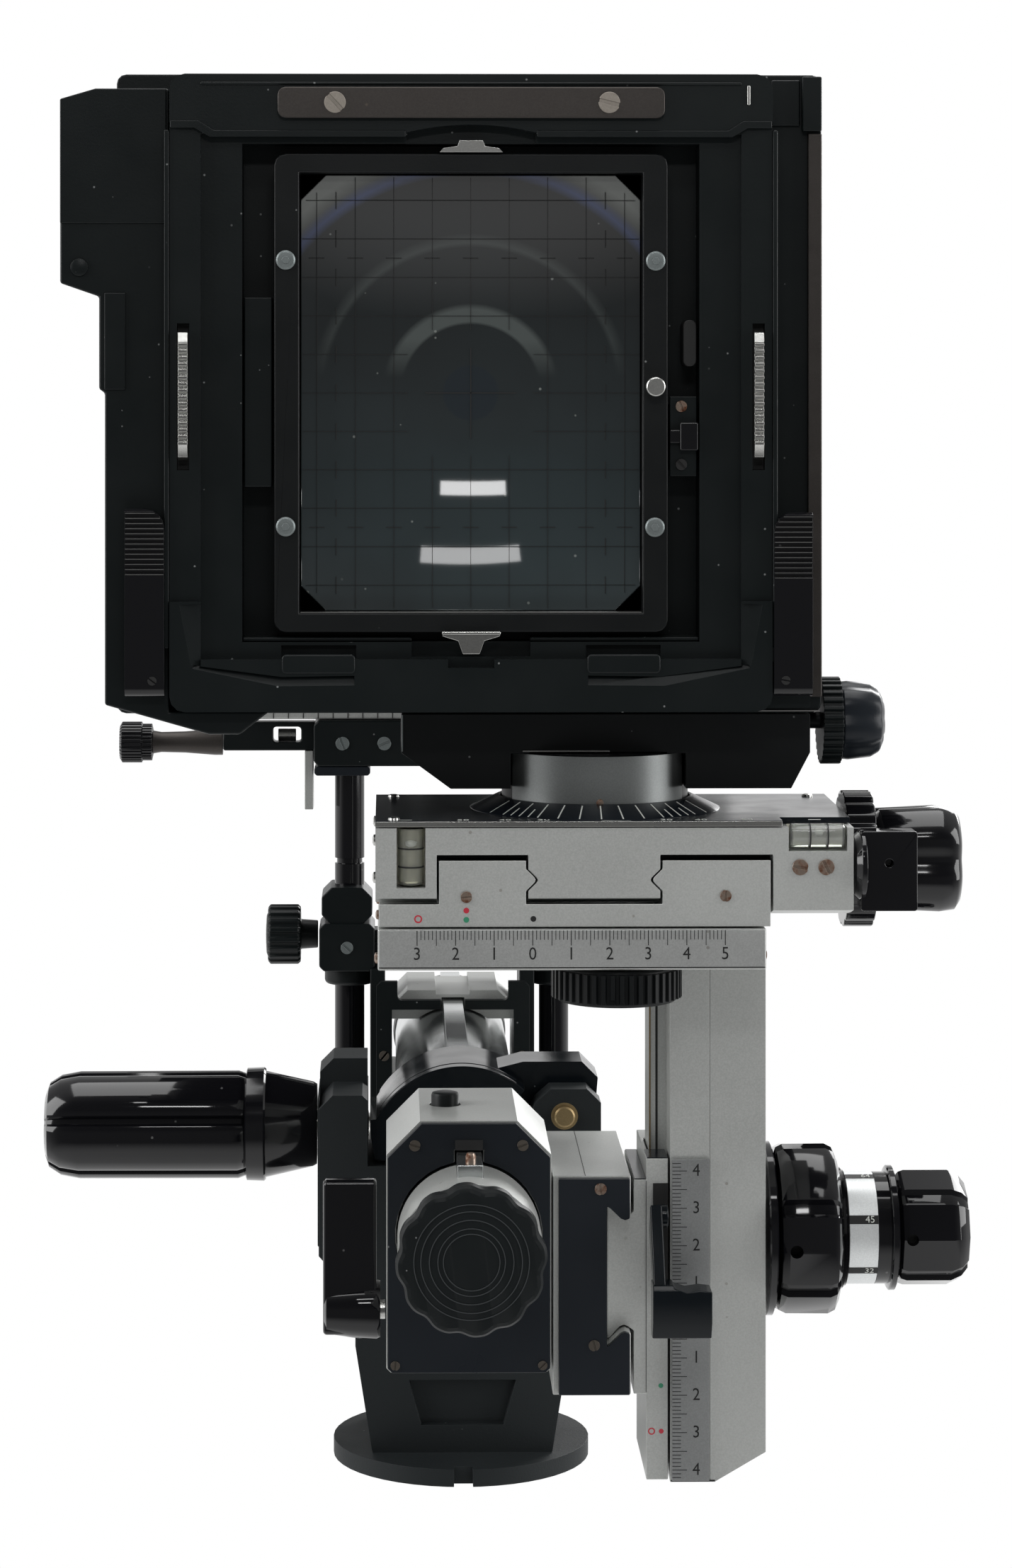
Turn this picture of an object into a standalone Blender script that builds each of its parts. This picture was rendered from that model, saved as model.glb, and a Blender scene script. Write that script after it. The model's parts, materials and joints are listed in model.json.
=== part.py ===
"""A monorail view camera on its rail clamp, as separate solids grouped by moving body.

Everything below is in millimetres until an object is made, which scales it to metres.
+X is the operator's right, +Y points at the subject and +Z is up. The origin is the middle
of the clamp's round foot, at the mouth of the tripod socket.
"""

import math

import bmesh
import bpy
from mathutils import Vector

MM = 0.001
GAP = 0.3

# Rail
RAIL_Z = 88.0
RAIL_R = 19.0
RAIL_BORE_R = 16.0
RAIL_Y = (-127.0, 205.0)
RIDGE_HALF = 3.35
RIDGE_TOP = 110.0
RUNNING = 0.4

# Rail clamp
FOOT_R = 37.5
FOOT_Z = 5.0
SOCKET_R = 2.55
SOCKET_DEPTH = 10.0
CLAMP_HALF_Y = 20.0
PIN_XZ = (29.6, 102.4)
PIN_R = 3.0
KNUCKLE_R = 9.6
KNUCKLE_HALF_Y = 9.0
NOSE_R = 56.4
ARM_X = (-41.6, -27.4)
JAW_R = 28.2
STUD_Z = 96.6
STUD_R = 4.0
GRIP_R = 15.6

# Standards
LENS_Z = 312.0
FRAME_HALF_X = 93.0
FRAME_Z = (227.5, 396.0)
FRAME_CORNER = 2.5
BELLOWS_HALF = 75.0
BELLOWS_WALL = 2.0

# Rear standard
REAR_BLOCK_Y = (-108.0, -60.0)
COVER_THICK = 2.0
BLOCK_HALF_X = 22.0
GUIDE_X = (22.4, 43.2)
GUIDE_Z = (44.9, 103.2)
COLUMN_X = (54.0, 79.6)
COLUMN_Y = (-104.0, -64.0)
COLUMN_Z = (20.4, 161.7)
KNOB_YZ = (-84.0, 84.0)
CARRIAGE_Y = (-134.0, -68.0)
SHIFT_GUIDE_Z = (162.0, 172.8)
TILT_Y = -101.0
SWING_XY = (34.0, -100.0)
TILT_KNOB_YZ = (-101.0, 187.0)
REAR_FRAME_Y = (-117.7, -97.0)
BACK_Y = (-138.0, -118.0)
BACK_HALF_X = 78.0
BACK_Z = (229.5, 394.5)
GLASS_FRAME_HALF = (51.0, 62.0)
GLASS_HALF = (44.5, 57.0)
LEVER_PIVOT_YZ = (-136.0, 236.0)

# Front standard
FRONT_Y = 165.0
FRONT_BLOCK_Y = (145.0, 185.0)
FRONT_TILT_Z = 60.0
GUARD_Y = (139.8, 143.0)
ROD_X = 34.5
ROD_R = 5.15
FRONT_FRAME_Y = (152.0, 170.0)
BOARD_HALF = 70.0

# Radii about the rear tilt axis, of the surfaces that slide on each other
ARC_PLATE = 136.8
ARC_BONE_FOOT = 135.3
ARC_JAW_TOP = 125.9
ARC_CARRIAGE = 124.7
ARC_RIGHT_END = 138.5
BONE_REACH = 13.9

# Colour, roughness, metallic
FINISHES = {
    "black_paint": ((0.018, 0.021, 0.023), 0.55, 0.0),
    "gloss_black": ((0.008, 0.008, 0.009), 0.12, 0.0),
    "satin_alloy": ((0.62, 0.62, 0.61), 0.36, 0.9),
    "steel": ((0.55, 0.54, 0.52), 0.3, 1.0),
    "brass": ((0.55, 0.36, 0.17), 0.35, 1.0),
    "bronze_trim": ((0.25, 0.21, 0.18), 0.4, 0.7),
    "scale_plate": ((0.02, 0.022, 0.024), 0.45, 0.1),
    "scale_strip": ((0.7, 0.7, 0.69), 0.3, 0.9),
    "leatherette": ((0.02, 0.02, 0.022), 0.7, 0.0),
    "ground_glass": ((0.12, 0.14, 0.16), 0.35, 0.0),
    "vial": ((0.6, 0.62, 0.3), 0.08, 0.0),
    "lens": ((0.03, 0.03, 0.05), 0.03, 0.0),
}

# From an outline's two coordinates and the place along an axis, to a point
PLACES = {
    "X": lambda u, v, w: (w, u, v),
    "Y": lambda u, v, w: (u, w, v),
    "Z": lambda u, v, w: (u, v, w),
}

bodies = {}


def clear_scene():
    for old in list(bpy.data.objects):
        bpy.data.objects.remove(old, do_unlink=True)


# Outlines, as lists of points in a plane


def arc(centre, radius, start, end, steps):
    """Points from one angle to another, in degrees, both ends included."""
    angles = [math.radians(start + (end - start) * i / steps) for i in range(steps + 1)]
    return [(centre[0] + radius * math.cos(a), centre[1] + radius * math.sin(a)) for a in angles]


def circle(centre, radius, steps=28):
    return arc(centre, radius, 0, 360, steps)[:-1]


def ribbed(centre, radius, depth, ribs):
    """A circle with square ribs, for a grip."""
    points = []
    for rib in range(ribs):
        start = 360 * rib / ribs
        quarter = 90 / ribs
        points += arc(centre, radius, start, start + quarter, 1)
        points += arc(centre, radius - depth, start + 2 * quarter, start + 3 * quarter, 1)
    return points


def lobed(centre, radius, depth, lobes, steps=36):
    """A circle whose radius swells smoothly into lobes."""
    points = []
    for step in range(steps):
        angle = 2 * math.pi * step / steps
        reach = radius - depth * (0.5 - 0.5 * math.cos(lobes * angle))
        points.append((centre[0] + reach * math.cos(angle), centre[1] + reach * math.sin(angle)))
    return points


def rectangle(u, v):
    return [(u[0], v[0]), (u[1], v[0]), (u[1], v[1]), (u[0], v[1])]


def round_rectangle(u, v, radius, steps=3):
    points = arc((u[1] - radius, v[0] + radius), radius, -90, 0, steps)
    points += arc((u[1] - radius, v[1] - radius), radius, 0, 90, steps)
    points += arc((u[0] + radius, v[1] - radius), radius, 90, 180, steps)
    return points + arc((u[0] + radius, v[0] + radius), radius, 180, 270, steps)


def octagon(u, low_cut, high_cut, v):
    """A rectangle with its lower and upper corners cut off at 45 degrees."""
    return [
        (u[0] + low_cut, v[0]),
        (u[1] - low_cut, v[0]),
        (u[1], v[0] + low_cut),
        (u[1], v[1] - high_cut),
        (u[1] - high_cut, v[1]),
        (u[0] + high_cut, v[1]),
        (u[0], v[1] - high_cut),
        (u[0], v[0] + low_cut),
    ]


def rail_outline(clearance, steps=32):
    """The rail's round section with its ridge on top, in X and Z."""
    radius = RAIL_R + clearance
    half = RIDGE_HALF + clearance
    side = math.degrees(math.asin(half / radius))
    points = arc((0, RAIL_Z), radius, 90 + side, 450 - side, steps)
    return points + [(half, RIDGE_TOP + clearance), (-half, RIDGE_TOP + clearance)]


# Solids, as bmeshes


def prism(axis, outline, low, high):
    """The outline extruded along an axis: it is in Y and Z, X and Z, or X and Y."""
    place = PLACES[axis]
    solid = bmesh.new()
    bottom = solid.faces.new([solid.verts.new(place(u, v, low)) for u, v in outline])
    extruded = bmesh.ops.extrude_face_region(solid, geom=[bottom])["geom"]
    moved = [item for item in extruded if isinstance(item, bmesh.types.BMVert)]
    bmesh.ops.translate(solid, verts=moved, vec=Vector(place(0, 0, high - low)))
    bmesh.ops.recalc_face_normals(solid, faces=solid.faces)
    return solid


def box(x, y, z):
    return prism("Z", rectangle(x, y), z[0], z[1])


def drum(axis, centre, radius, low, high, steps=28):
    return prism(axis, circle(centre, radius, steps), low, high)


def turned(axis, centre, profile, outline_at=None, steps=32):
    """A solid of round sections: profile lists (place along the axis, radius), end to end."""
    outline_at = outline_at or (lambda radius: circle(centre, radius, steps))
    place = PLACES[axis]
    solid = bmesh.new()
    rings = []
    for along, radius in profile:
        rings.append([solid.verts.new(place(u, v, along)) for u, v in outline_at(radius)])
    count = len(rings[0])
    for lower, upper in zip(rings, rings[1:]):
        for i in range(count):
            j = (i + 1) % count
            solid.faces.new([lower[i], lower[j], upper[j], upper[i]])
    solid.faces.new(rings[0])
    solid.faces.new(rings[-1])
    bmesh.ops.recalc_face_normals(solid, faces=solid.faces)
    return solid


def tilt_arc(radius, steps=10):
    """The underside of a carriage: an arc about the rear tilt axis, from its front edge to its back edge."""
    reach = math.degrees(math.asin((CARRIAGE_Y[1] - TILT_Y) / radius))
    return arc((TILT_Y, LENS_Z), radius, -90 + reach, -90 - reach, steps)


def arc_slab(x, radius, top):
    """A slab with a flat top whose underside follows the tilt arc."""
    outline = tilt_arc(radius) + [(CARRIAGE_Y[0], top), (CARRIAGE_Y[1], top)]
    return prism("X", outline, x[0], x[1])


def swept(outline, reach, steps=14):
    """An outline of (x, radius) carried round the tilt axis, some degrees to each side of straight down."""
    solid = bmesh.new()
    rings = []
    for step in range(steps + 1):
        angle = math.radians(-90 + reach - 2 * reach * step / steps)
        ring = []
        for x, radius in outline:
            y, z = TILT_Y + radius * math.cos(angle), LENS_Z + radius * math.sin(angle)
            ring.append(solid.verts.new((x, y, z)))
        rings.append(ring)
    count = len(outline)
    for lower, upper in zip(rings, rings[1:]):
        for i in range(count):
            j = (i + 1) % count
            solid.faces.new([lower[i], lower[j], upper[j], upper[i]])
    solid.faces.new(rings[0])
    solid.faces.new(rings[-1])
    bmesh.ops.recalc_face_normals(solid, faces=solid.faces)
    return solid


def bone(left, right, top, foot):
    """The tilt guide's section in x and radius, with a rounded notch in each flank."""
    edge = [(0, top), (0, 128.0), (2.2, 130.1), (2.5, 130.75), (2.2, 131.4), (0, 133.5), (0, foot)]
    return [(left + dx, radius) for dx, radius in edge] + [(right - dx, radius) for dx, radius in edge[::-1]]


def arc_cut(x, outer, inner=60.0, reach=24):
    """A cutter between two tilt arcs that runs past both ends of a carriage."""
    outline = arc((TILT_Y, LENS_Z), outer, -90 + reach, -90 - reach, 14)
    outline += arc((TILT_Y, LENS_Z), inner, -90 - reach, -90 + reach, 14)
    return prism("X", outline, x[0], x[1])


# Objects


def body(name, pivot, parent=None):
    """An empty on the joint's axis, which carries the pieces of one moving body."""
    empty = bpy.data.objects.new(name + "_axis", None)
    bpy.context.scene.collection.objects.link(empty)
    base = bodies[parent][1] if parent else Vector((0, 0, 0))
    empty.parent = bodies[parent][0] if parent else None
    empty.location = (Vector(pivot) - base) * MM
    bodies[name] = (empty, Vector(pivot))


def solid_object(name, solid, carrier):
    empty, pivot = bodies[carrier]
    for vert in solid.verts:
        vert.co = (vert.co - pivot) * MM
    mesh = bpy.data.meshes.new(name)
    solid.to_mesh(mesh)
    solid.free()
    obj = bpy.data.objects.new(name, mesh)
    obj.parent = empty
    bpy.context.scene.collection.objects.link(obj)
    return obj


def material(name, finish):
    colour, roughness, metallic = FINISHES[finish]
    made = bpy.data.materials.new(name + "_" + finish)
    made.use_nodes = True
    shader = made.node_tree.nodes["Principled BSDF"]
    shader.inputs["Base Color"].default_value = (*colour, 1)
    shader.inputs["Roughness"].default_value = roughness
    shader.inputs["Metallic"].default_value = metallic
    return made


def piece(name, carrier, finish, solids, cuts=()):
    """One named sub-part: the first solid joined with the others, then cut."""
    obj = solid_object(name, solids[0], carrier)
    steps = [("UNION", solid) for solid in solids[1:]] + [("DIFFERENCE", solid) for solid in cuts]
    helpers = []
    for operation, solid in steps:
        helper = solid_object(name + "_" + operation.lower(), solid, carrier)
        helper.hide_render = True
        helper.display_type = "WIRE"
        helpers.append(helper)
        boolean = obj.modifiers.new(operation.title(), "BOOLEAN")
        boolean.operation = operation
        boolean.object = helper
    if helpers:
        bpy.context.view_layer.update()
        shape = obj.evaluated_get(bpy.context.evaluated_depsgraph_get())
        obj.data = bpy.data.meshes.new_from_object(shape)
        obj.data.name = name
        obj.modifiers.clear()
        for helper in helpers:
            bpy.data.objects.remove(helper, do_unlink=True)
    obj.data.materials.clear()
    obj.data.materials.append(material(name, finish))
    obj.data.shade_smooth()
    obj.data.set_sharp_from_angle(angle=math.radians(30))
    return obj


def rail_clamp():
    body("rail_clamp", (0, 0, 0))
    pin_x, pin_z = PIN_XZ
    left, right = ARM_X
    outline = [(-26, 4.5), (26, 4.5), (31, 36), (31, 50), (40.2, 62), (40.2, 106.2), (36.2, 110.2)]
    outline += [(25.5, 110.2), (21.3, 106.5)] + arc((0, RAIL_Z), RAIL_R + RUNNING, 30, -180, 20)
    outline += [(right, RAIL_Z), (right, 107), (right - 1.6, 108.5), (left + 4, 108.5)]
    outline += [(left, 104.5), (left, 62)]
    outline += [(-31, 50), (-31, 36)]
    shoulder = [(left, 100), (left, 111.5), (left + 4, 115.5), (right - 0.2, 115.5), (right - 0.2, 100)]
    recess = [(-15.5, 26), (-12, 13), (12, 13), (15.5, 26)]
    solids = [
        prism("Y", outline, -CLAMP_HALF_Y, CLAMP_HALF_Y),
        drum("Z", (0, 0), FOOT_R, 0, FOOT_Z, 48),
        prism("Y", shoulder, 2, CLAMP_HALF_Y),
    ]
    cuts = [
        drum("Z", (0, 0), SOCKET_R, -1, SOCKET_DEPTH, 20),
        box((-2.7, 2.7), (-FOOT_R - 1, -FOOT_R + 3.5), (-1, FOOT_Z + 1)),
        prism("Y", recess, -CLAMP_HALF_Y - 1, -CLAMP_HALF_Y + 3),
        drum("X", (0, STUD_Z), STUD_R + RUNNING, -43, -26.5, 20),
        drum("Y", PIN_XZ, 15.5, -KNUCKLE_HALF_Y, KNUCKLE_HALF_Y, 28),
        drum("Y", PIN_XZ, PIN_R + GAP, -CLAMP_HALF_Y - 1, CLAMP_HALF_Y + 1, 20),
    ]
    piece("clamp_base", "rail_clamp", "black_paint", solids, cuts)
    piece("jaw_pin", "rail_clamp", "brass", [drum("Y", PIN_XZ, PIN_R, -21.5, 21.5, 20)])

    body("clamp_jaw", (pin_x, 0, pin_z), "rail_clamp")
    half = RIDGE_HALF + 0.55
    side = math.degrees(math.asin(half / (RAIL_R + RUNNING)))
    outline = arc(PIN_XZ, NOSE_R, 193.1, 181.5, 4) + arc((0, RAIL_Z), JAW_R, 152, 50, 12)
    outline += arc((0, RAIL_Z), RAIL_R + RUNNING, 47.9, 90 - side, 5)
    outline += [(half, RIDGE_TOP + RUNNING), (-half, RIDGE_TOP + RUNNING)]
    outline += arc((0, RAIL_Z), RAIL_R + RUNNING, 90 + side, 178, 9)
    neck = [(9, 105.5), (17.5, 98.6), (pin_x, 93.2), (38.8, 99)]
    neck += [(39.9, 111.5), (35.2, 116.2), (18, 116.2), (10, 114.2)]
    knuckle_half = KNUCKLE_HALF_Y - 0.4
    solids = [
        prism("Y", outline, -18, 18),
        prism("Y", neck, -knuckle_half, knuckle_half),
        drum("Y", PIN_XZ, KNUCKLE_R - 0.2, -knuckle_half, knuckle_half, 28),
    ]
    cuts = [drum("Y", PIN_XZ, PIN_R + GAP, -12, 12, 20)]
    piece("clamp_jaw", "clamp_jaw", "black_paint", solids, cuts)

    body("clamp_handle", (-42, 0, STUD_Z), "rail_clamp")
    piece("clamp_stud", "clamp_handle", "steel", [drum("X", (0, STUD_Z), STUD_R, -54, -27.2, 20)])
    grip = [(-60, 13.4), (-64, GRIP_R), (-116, GRIP_R), (-120.5, 13.6), (-122, 9.5)]
    neck = [(-42.2, 12.0), (-57.4, 15.4), (-57.5, 16.5), (-63.2, 16.5)]
    solids = [
        turned("X", (0, STUD_Z), grip, lambda radius: lobed((0, STUD_Z), radius + 0.9, 2.2, 4)),
        turned("X", (0, STUD_Z), neck, steps=28),
    ]
    cuts = [drum("X", (0, STUD_Z), STUD_R + GAP, -55, -41, 20)]
    piece("clamp_handle", "clamp_handle", "gloss_black", solids, cuts)


def monorail():
    body("rail", (0, 0, RAIL_Z), "rail_clamp")
    rear, front = RAIL_Y
    bore = drum("Y", (0, RAIL_Z), RAIL_BORE_R, rear - 1, front + 1, 24)
    piece("rail", "rail", "satin_alloy", [prism("Y", rail_outline(0), rear, front)], [bore])
    knob = [(rear - GAP, 18.6), (rear - 3, 19.75), (rear - 11.5, 19.75), (rear - 14, 17.6), (rear - 15, 16.6)]
    cap = turned("Y", (0, RAIL_Z), knob, lambda radius: lobed((0, RAIL_Z), radius, 0.9, 12, 72))
    piece("rail_cap_rear", "rail", "black_paint", [cap])
    plain = [(front + GAP, 19.0), (front + 3, 19.75), (front + 9, 19.75), (front + 11, 18)]
    piece("rail_cap_front", "rail", "black_paint", [turned("Y", (0, RAIL_Z), plain)])


def dovetail(clearance):
    """The fine focus slide's section in X and Z: a head held by two notched lips."""
    half = []
    for x, z in ((37.1, 18.1), (37.9, 17.7), (40.4, 14.9), (41.6, 14.4), (42.8, 14.9), (44.5, 16.2)):
        half.append((x - clearance * (x < 38), 76.9 + z + clearance * 1.2))
    return [(x, 153.8 - z) for x, z in half] + half[::-1]


def rear_base():
    low, high = REAR_BLOCK_Y
    body("rear_carriage", (0, low, RAIL_Z), "rail")
    half = BLOCK_HALF_X
    bore = prism("Y", rail_outline(RUNNING), low - 5, high + 1)
    pocket = drum("Z", (-6, -84), 4.1, 112, 119, 20)
    block = prism("Y", octagon((-half, half), 1.2, 9, (51, 118)), low, high)
    piece("rear_block", "rear_carriage", "satin_alloy", [block], [bore, pocket])
    cover_y = (low - GAP - COVER_THICK, low - GAP)
    cover = prism("Y", octagon((-half + 0.4, half - 0.4), 1.2, 9, (51.4, 117.6)), *cover_y)
    bore = prism("Y", rail_outline(RUNNING + 0.3), low - 5, high + 1)
    piece("rear_block_cover", "rear_carriage", "black_paint", [cover], [bore])
    guide = box(GUIDE_X, (low, -46), GUIDE_Z)
    piece("focus_guide", "rear_carriage", "satin_alloy", [guide], [prism("Y", dovetail(0.4), -120, -40)])
    plate = box((GUIDE_X[0] + 1.5, GUIDE_X[1] - 0.4), cover_y, (45.3, 102.8))
    slot = prism("Y", dovetail(0.4), -120, -40)
    piece("focus_guide_cover", "rear_carriage", "black_paint", [plate], [slot])

    body("release_button", (-6, -84, 114), "rear_carriage")
    cap = turned("Z", (-6, -84), [(114, 3.7), (120.4, 3.7), (121.4, 2.8)], steps=20)
    piece("release_button", "release_button", "gloss_black", [cap])

    body("rear_clamp_lever", (-half, -100, 66), "rear_carriage")
    boss = drum("X", (-100, 66), 7, -31, -half - GAP, 24)
    paddle = prism("Y", round_rectangle((-39, -24.4), (65, 101.6), 5), -104.5, -99)
    piece("rear_clamp_lever", "rear_clamp_lever", "gloss_black", [paddle, boss])

    body("focus_carrier", (40.8, -84, 77), "rear_carriage")
    solids = [
        box((47.6, 53.4), COLUMN_Y, (21, 107)),
        box((44.2, 48), COLUMN_Y, (44, 101.4)),
        prism("Y", dovetail(0), *COLUMN_Y),
    ]
    groove = box((48.6, 54), (-92, -76), (20, 112))
    piece("focus_slide", "focus_carrier", "satin_alloy", solids, [groove])

    pivot = (-110.5, 93.0)
    body("rise_lock_lever", (49, *pivot), "focus_carrier")
    stem = [(-113.5, 96), (-107.5, 90), (-121.5, 70), (-126.5, 72)]
    solids = [
        drum("X", pivot, 4.8, 45, 53, 20),
        prism("X", stem, 47.5, 51.5),
        prism("X", round_rectangle((-129, -121), (65, 80), 3), 47, 63),
    ]
    piece("rise_lock_lever", "rise_lock_lever", "gloss_black", solids)


def rear_column():
    low_z, high_z = COLUMN_Z
    left, right = COLUMN_X
    body("rear_column", (left, -84, 84), "focus_carrier")
    outline = [(left, low_z), (66, low_z), (right, 28.3), (right, high_z), (left, high_z)]
    tongue = box((left - 4.9, left + 1), (-91.6, -76.4), (22, 160))
    piece("column", "rear_column", "satin_alloy", [prism("Y", outline, *COLUMN_Y), tongue])
    scale = box((54.4, 64.4), (COLUMN_Y[0] - 1.2, COLUMN_Y[0] - GAP), (21, 107))
    piece("rise_scale", "rear_column", "scale_strip", [scale])

    guide = box((-24.2, 76.8), CARRIAGE_Y, SHIFT_GUIDE_Z)
    keyway = box((-30, 80), (-110.4, -91.6), (167.6, 175))
    piece("shift_guide", "rear_column", "satin_alloy", [guide], [keyway])
    scale = box((-22, 75), (CARRIAGE_Y[0] - 1.2, CARRIAGE_Y[0] - GAP), (163.2, 171.8))
    piece("shift_scale", "rear_column", "scale_strip", [scale])

    body("rise_knob", (82.2, *KNOB_YZ), "rear_column")
    profile = [(80, 8), (82.2, 8), (82.3, 21.6), (84, 23.3), (97.5, 23.3), (100, 21.2), (100.7, 17.5)]
    grip = turned("X", KNOB_YZ, profile, lambda radius: lobed(KNOB_YZ, radius, 1.8, 6, 48))
    piece("rise_knob", "rise_knob", "gloss_black", [grip])

    body("dof_ring", (101, *KNOB_YZ), "rear_column")
    ring = turned("X", KNOB_YZ, [(101.1, 15), (114.3, 15), (114.5, 16.7), (116.3, 16.7)])
    piece("dof_ring", "dof_ring", "satin_alloy", [ring])

    body("focus_knob", (116.6, *KNOB_YZ), "rear_column")
    profile = [(116.7, 13.5), (118.5, 15.6), (132, 15.6), (135, 13.6), (136, 11)]
    grip = turned("X", KNOB_YZ, profile, lambda radius: lobed(KNOB_YZ, radius, 1.6, 8, 48))
    piece("focus_knob", "focus_knob", "gloss_black", [grip])

    centre = (38.75, -118)
    body("shift_wheel", (*centre, 157), "rear_column")
    wheel = prism("Z", ribbed(centre, 17.25, 0.7, 36), 152, 161.6)
    piece("shift_wheel", "shift_wheel", "black_paint", [wheel])


def rear_movements():
    front = CARRIAGE_Y[0]
    body("rear_shift", (15, TILT_Y, 173), "rear_column")
    whole = (-25, 80)
    solids = [box((-23.9, 77.9), CARRIAGE_Y, (173.3, 192)), box((-23.9, 77.9), (-110, -92), (168, 174))]
    cuts = [
        arc_cut(whole, ARC_JAW_TOP),
        arc_cut((-25, -8.3), ARC_PLATE),
        swept(bone(14.3, 49.8, 118, ARC_PLATE), 24),
    ]
    piece("shift_carriage", "rear_shift", "satin_alloy", solids, cuts)

    body("rear_tilt", (37.3, TILT_Y, LENS_Z), "rear_shift")
    top = 199.0
    solids = [
        arc_slab((-24.8, 99.5), ARC_CARRIAGE, top),
        arc_slab((-24.8, -8.9), ARC_BONE_FOOT, top - 1),
        swept(bone(14.9, 49.2, 119, ARC_BONE_FOOT), BONE_REACH),
        arc_slab((78.6, 99.5), ARC_RIGHT_END, top - 1),
    ]
    cuts = [
        box((-19.3, -11.8), (front - 1, front + 8), (183.4, 200)),
        box((82.6, 97.9), (front - 1, front + 7), (192.8, 200)),
    ]
    piece("tilt_carriage", "rear_tilt", "satin_alloy", solids, cuts)
    plate = box((-24.8, 99.4), CARRIAGE_Y, (top + GAP, 200.8))
    notch = box((81, 101), (front - 1, front + 8), (198, 202))
    ring = turned("Z", SWING_XY, [(200.5, 33.5), (200.9, 33.5), (204.2, 26.4)], steps=56)
    bore = drum("Z", SWING_XY, 25.5, 200.9, 206, 40)
    piece("swing_scale_plate", "rear_tilt", "scale_plate", [plate, ring], [notch, bore])
    side = drum("Z", (-15.55, front + 4), 3.3, 183.8, 198.4, 20)
    piece("level_vial_side", "rear_tilt", "vial", [side])
    upper = drum("X", (front + 3.4, 196.6), 3.1, 83, 97.5, 20)
    piece("level_vial_top", "rear_tilt", "vial", [upper])

    body("tilt_lock_lever", (99.8, *TILT_KNOB_YZ), "rear_tilt")
    flag = prism("X", rectangle((-130, -101), (181, 194)), 101.5, 107.5)
    plate = box((101.8, 116.6), (-131.2, -123), (176.8, 197.6))
    disc = prism("X", ribbed(TILT_KNOB_YZ, 18, 0.6, 36), 99.9, 107.9)
    piece("tilt_lock_lever", "tilt_lock_lever", "gloss_black", [disc, flag, plate])

    body("tilt_knob", (108.3, *TILT_KNOB_YZ), "rear_tilt")
    profile = [(108.3, 12.5), (111, 15.2), (124, 15.2), (127, 13), (128, 9)]
    knob = turned("X", TILT_KNOB_YZ, profile, lambda radius: lobed(TILT_KNOB_YZ, radius, 1.4, 8, 48))
    piece("tilt_knob", "tilt_knob", "gloss_black", [knob])


def rear_frame_outline():
    return round_rectangle((-FRAME_HALF_X, FRAME_HALF_X), FRAME_Z, FRAME_CORNER)


def square_hole(half, y):
    return box((-half, half), y, (LENS_Z - half, LENS_Z + half))


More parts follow.
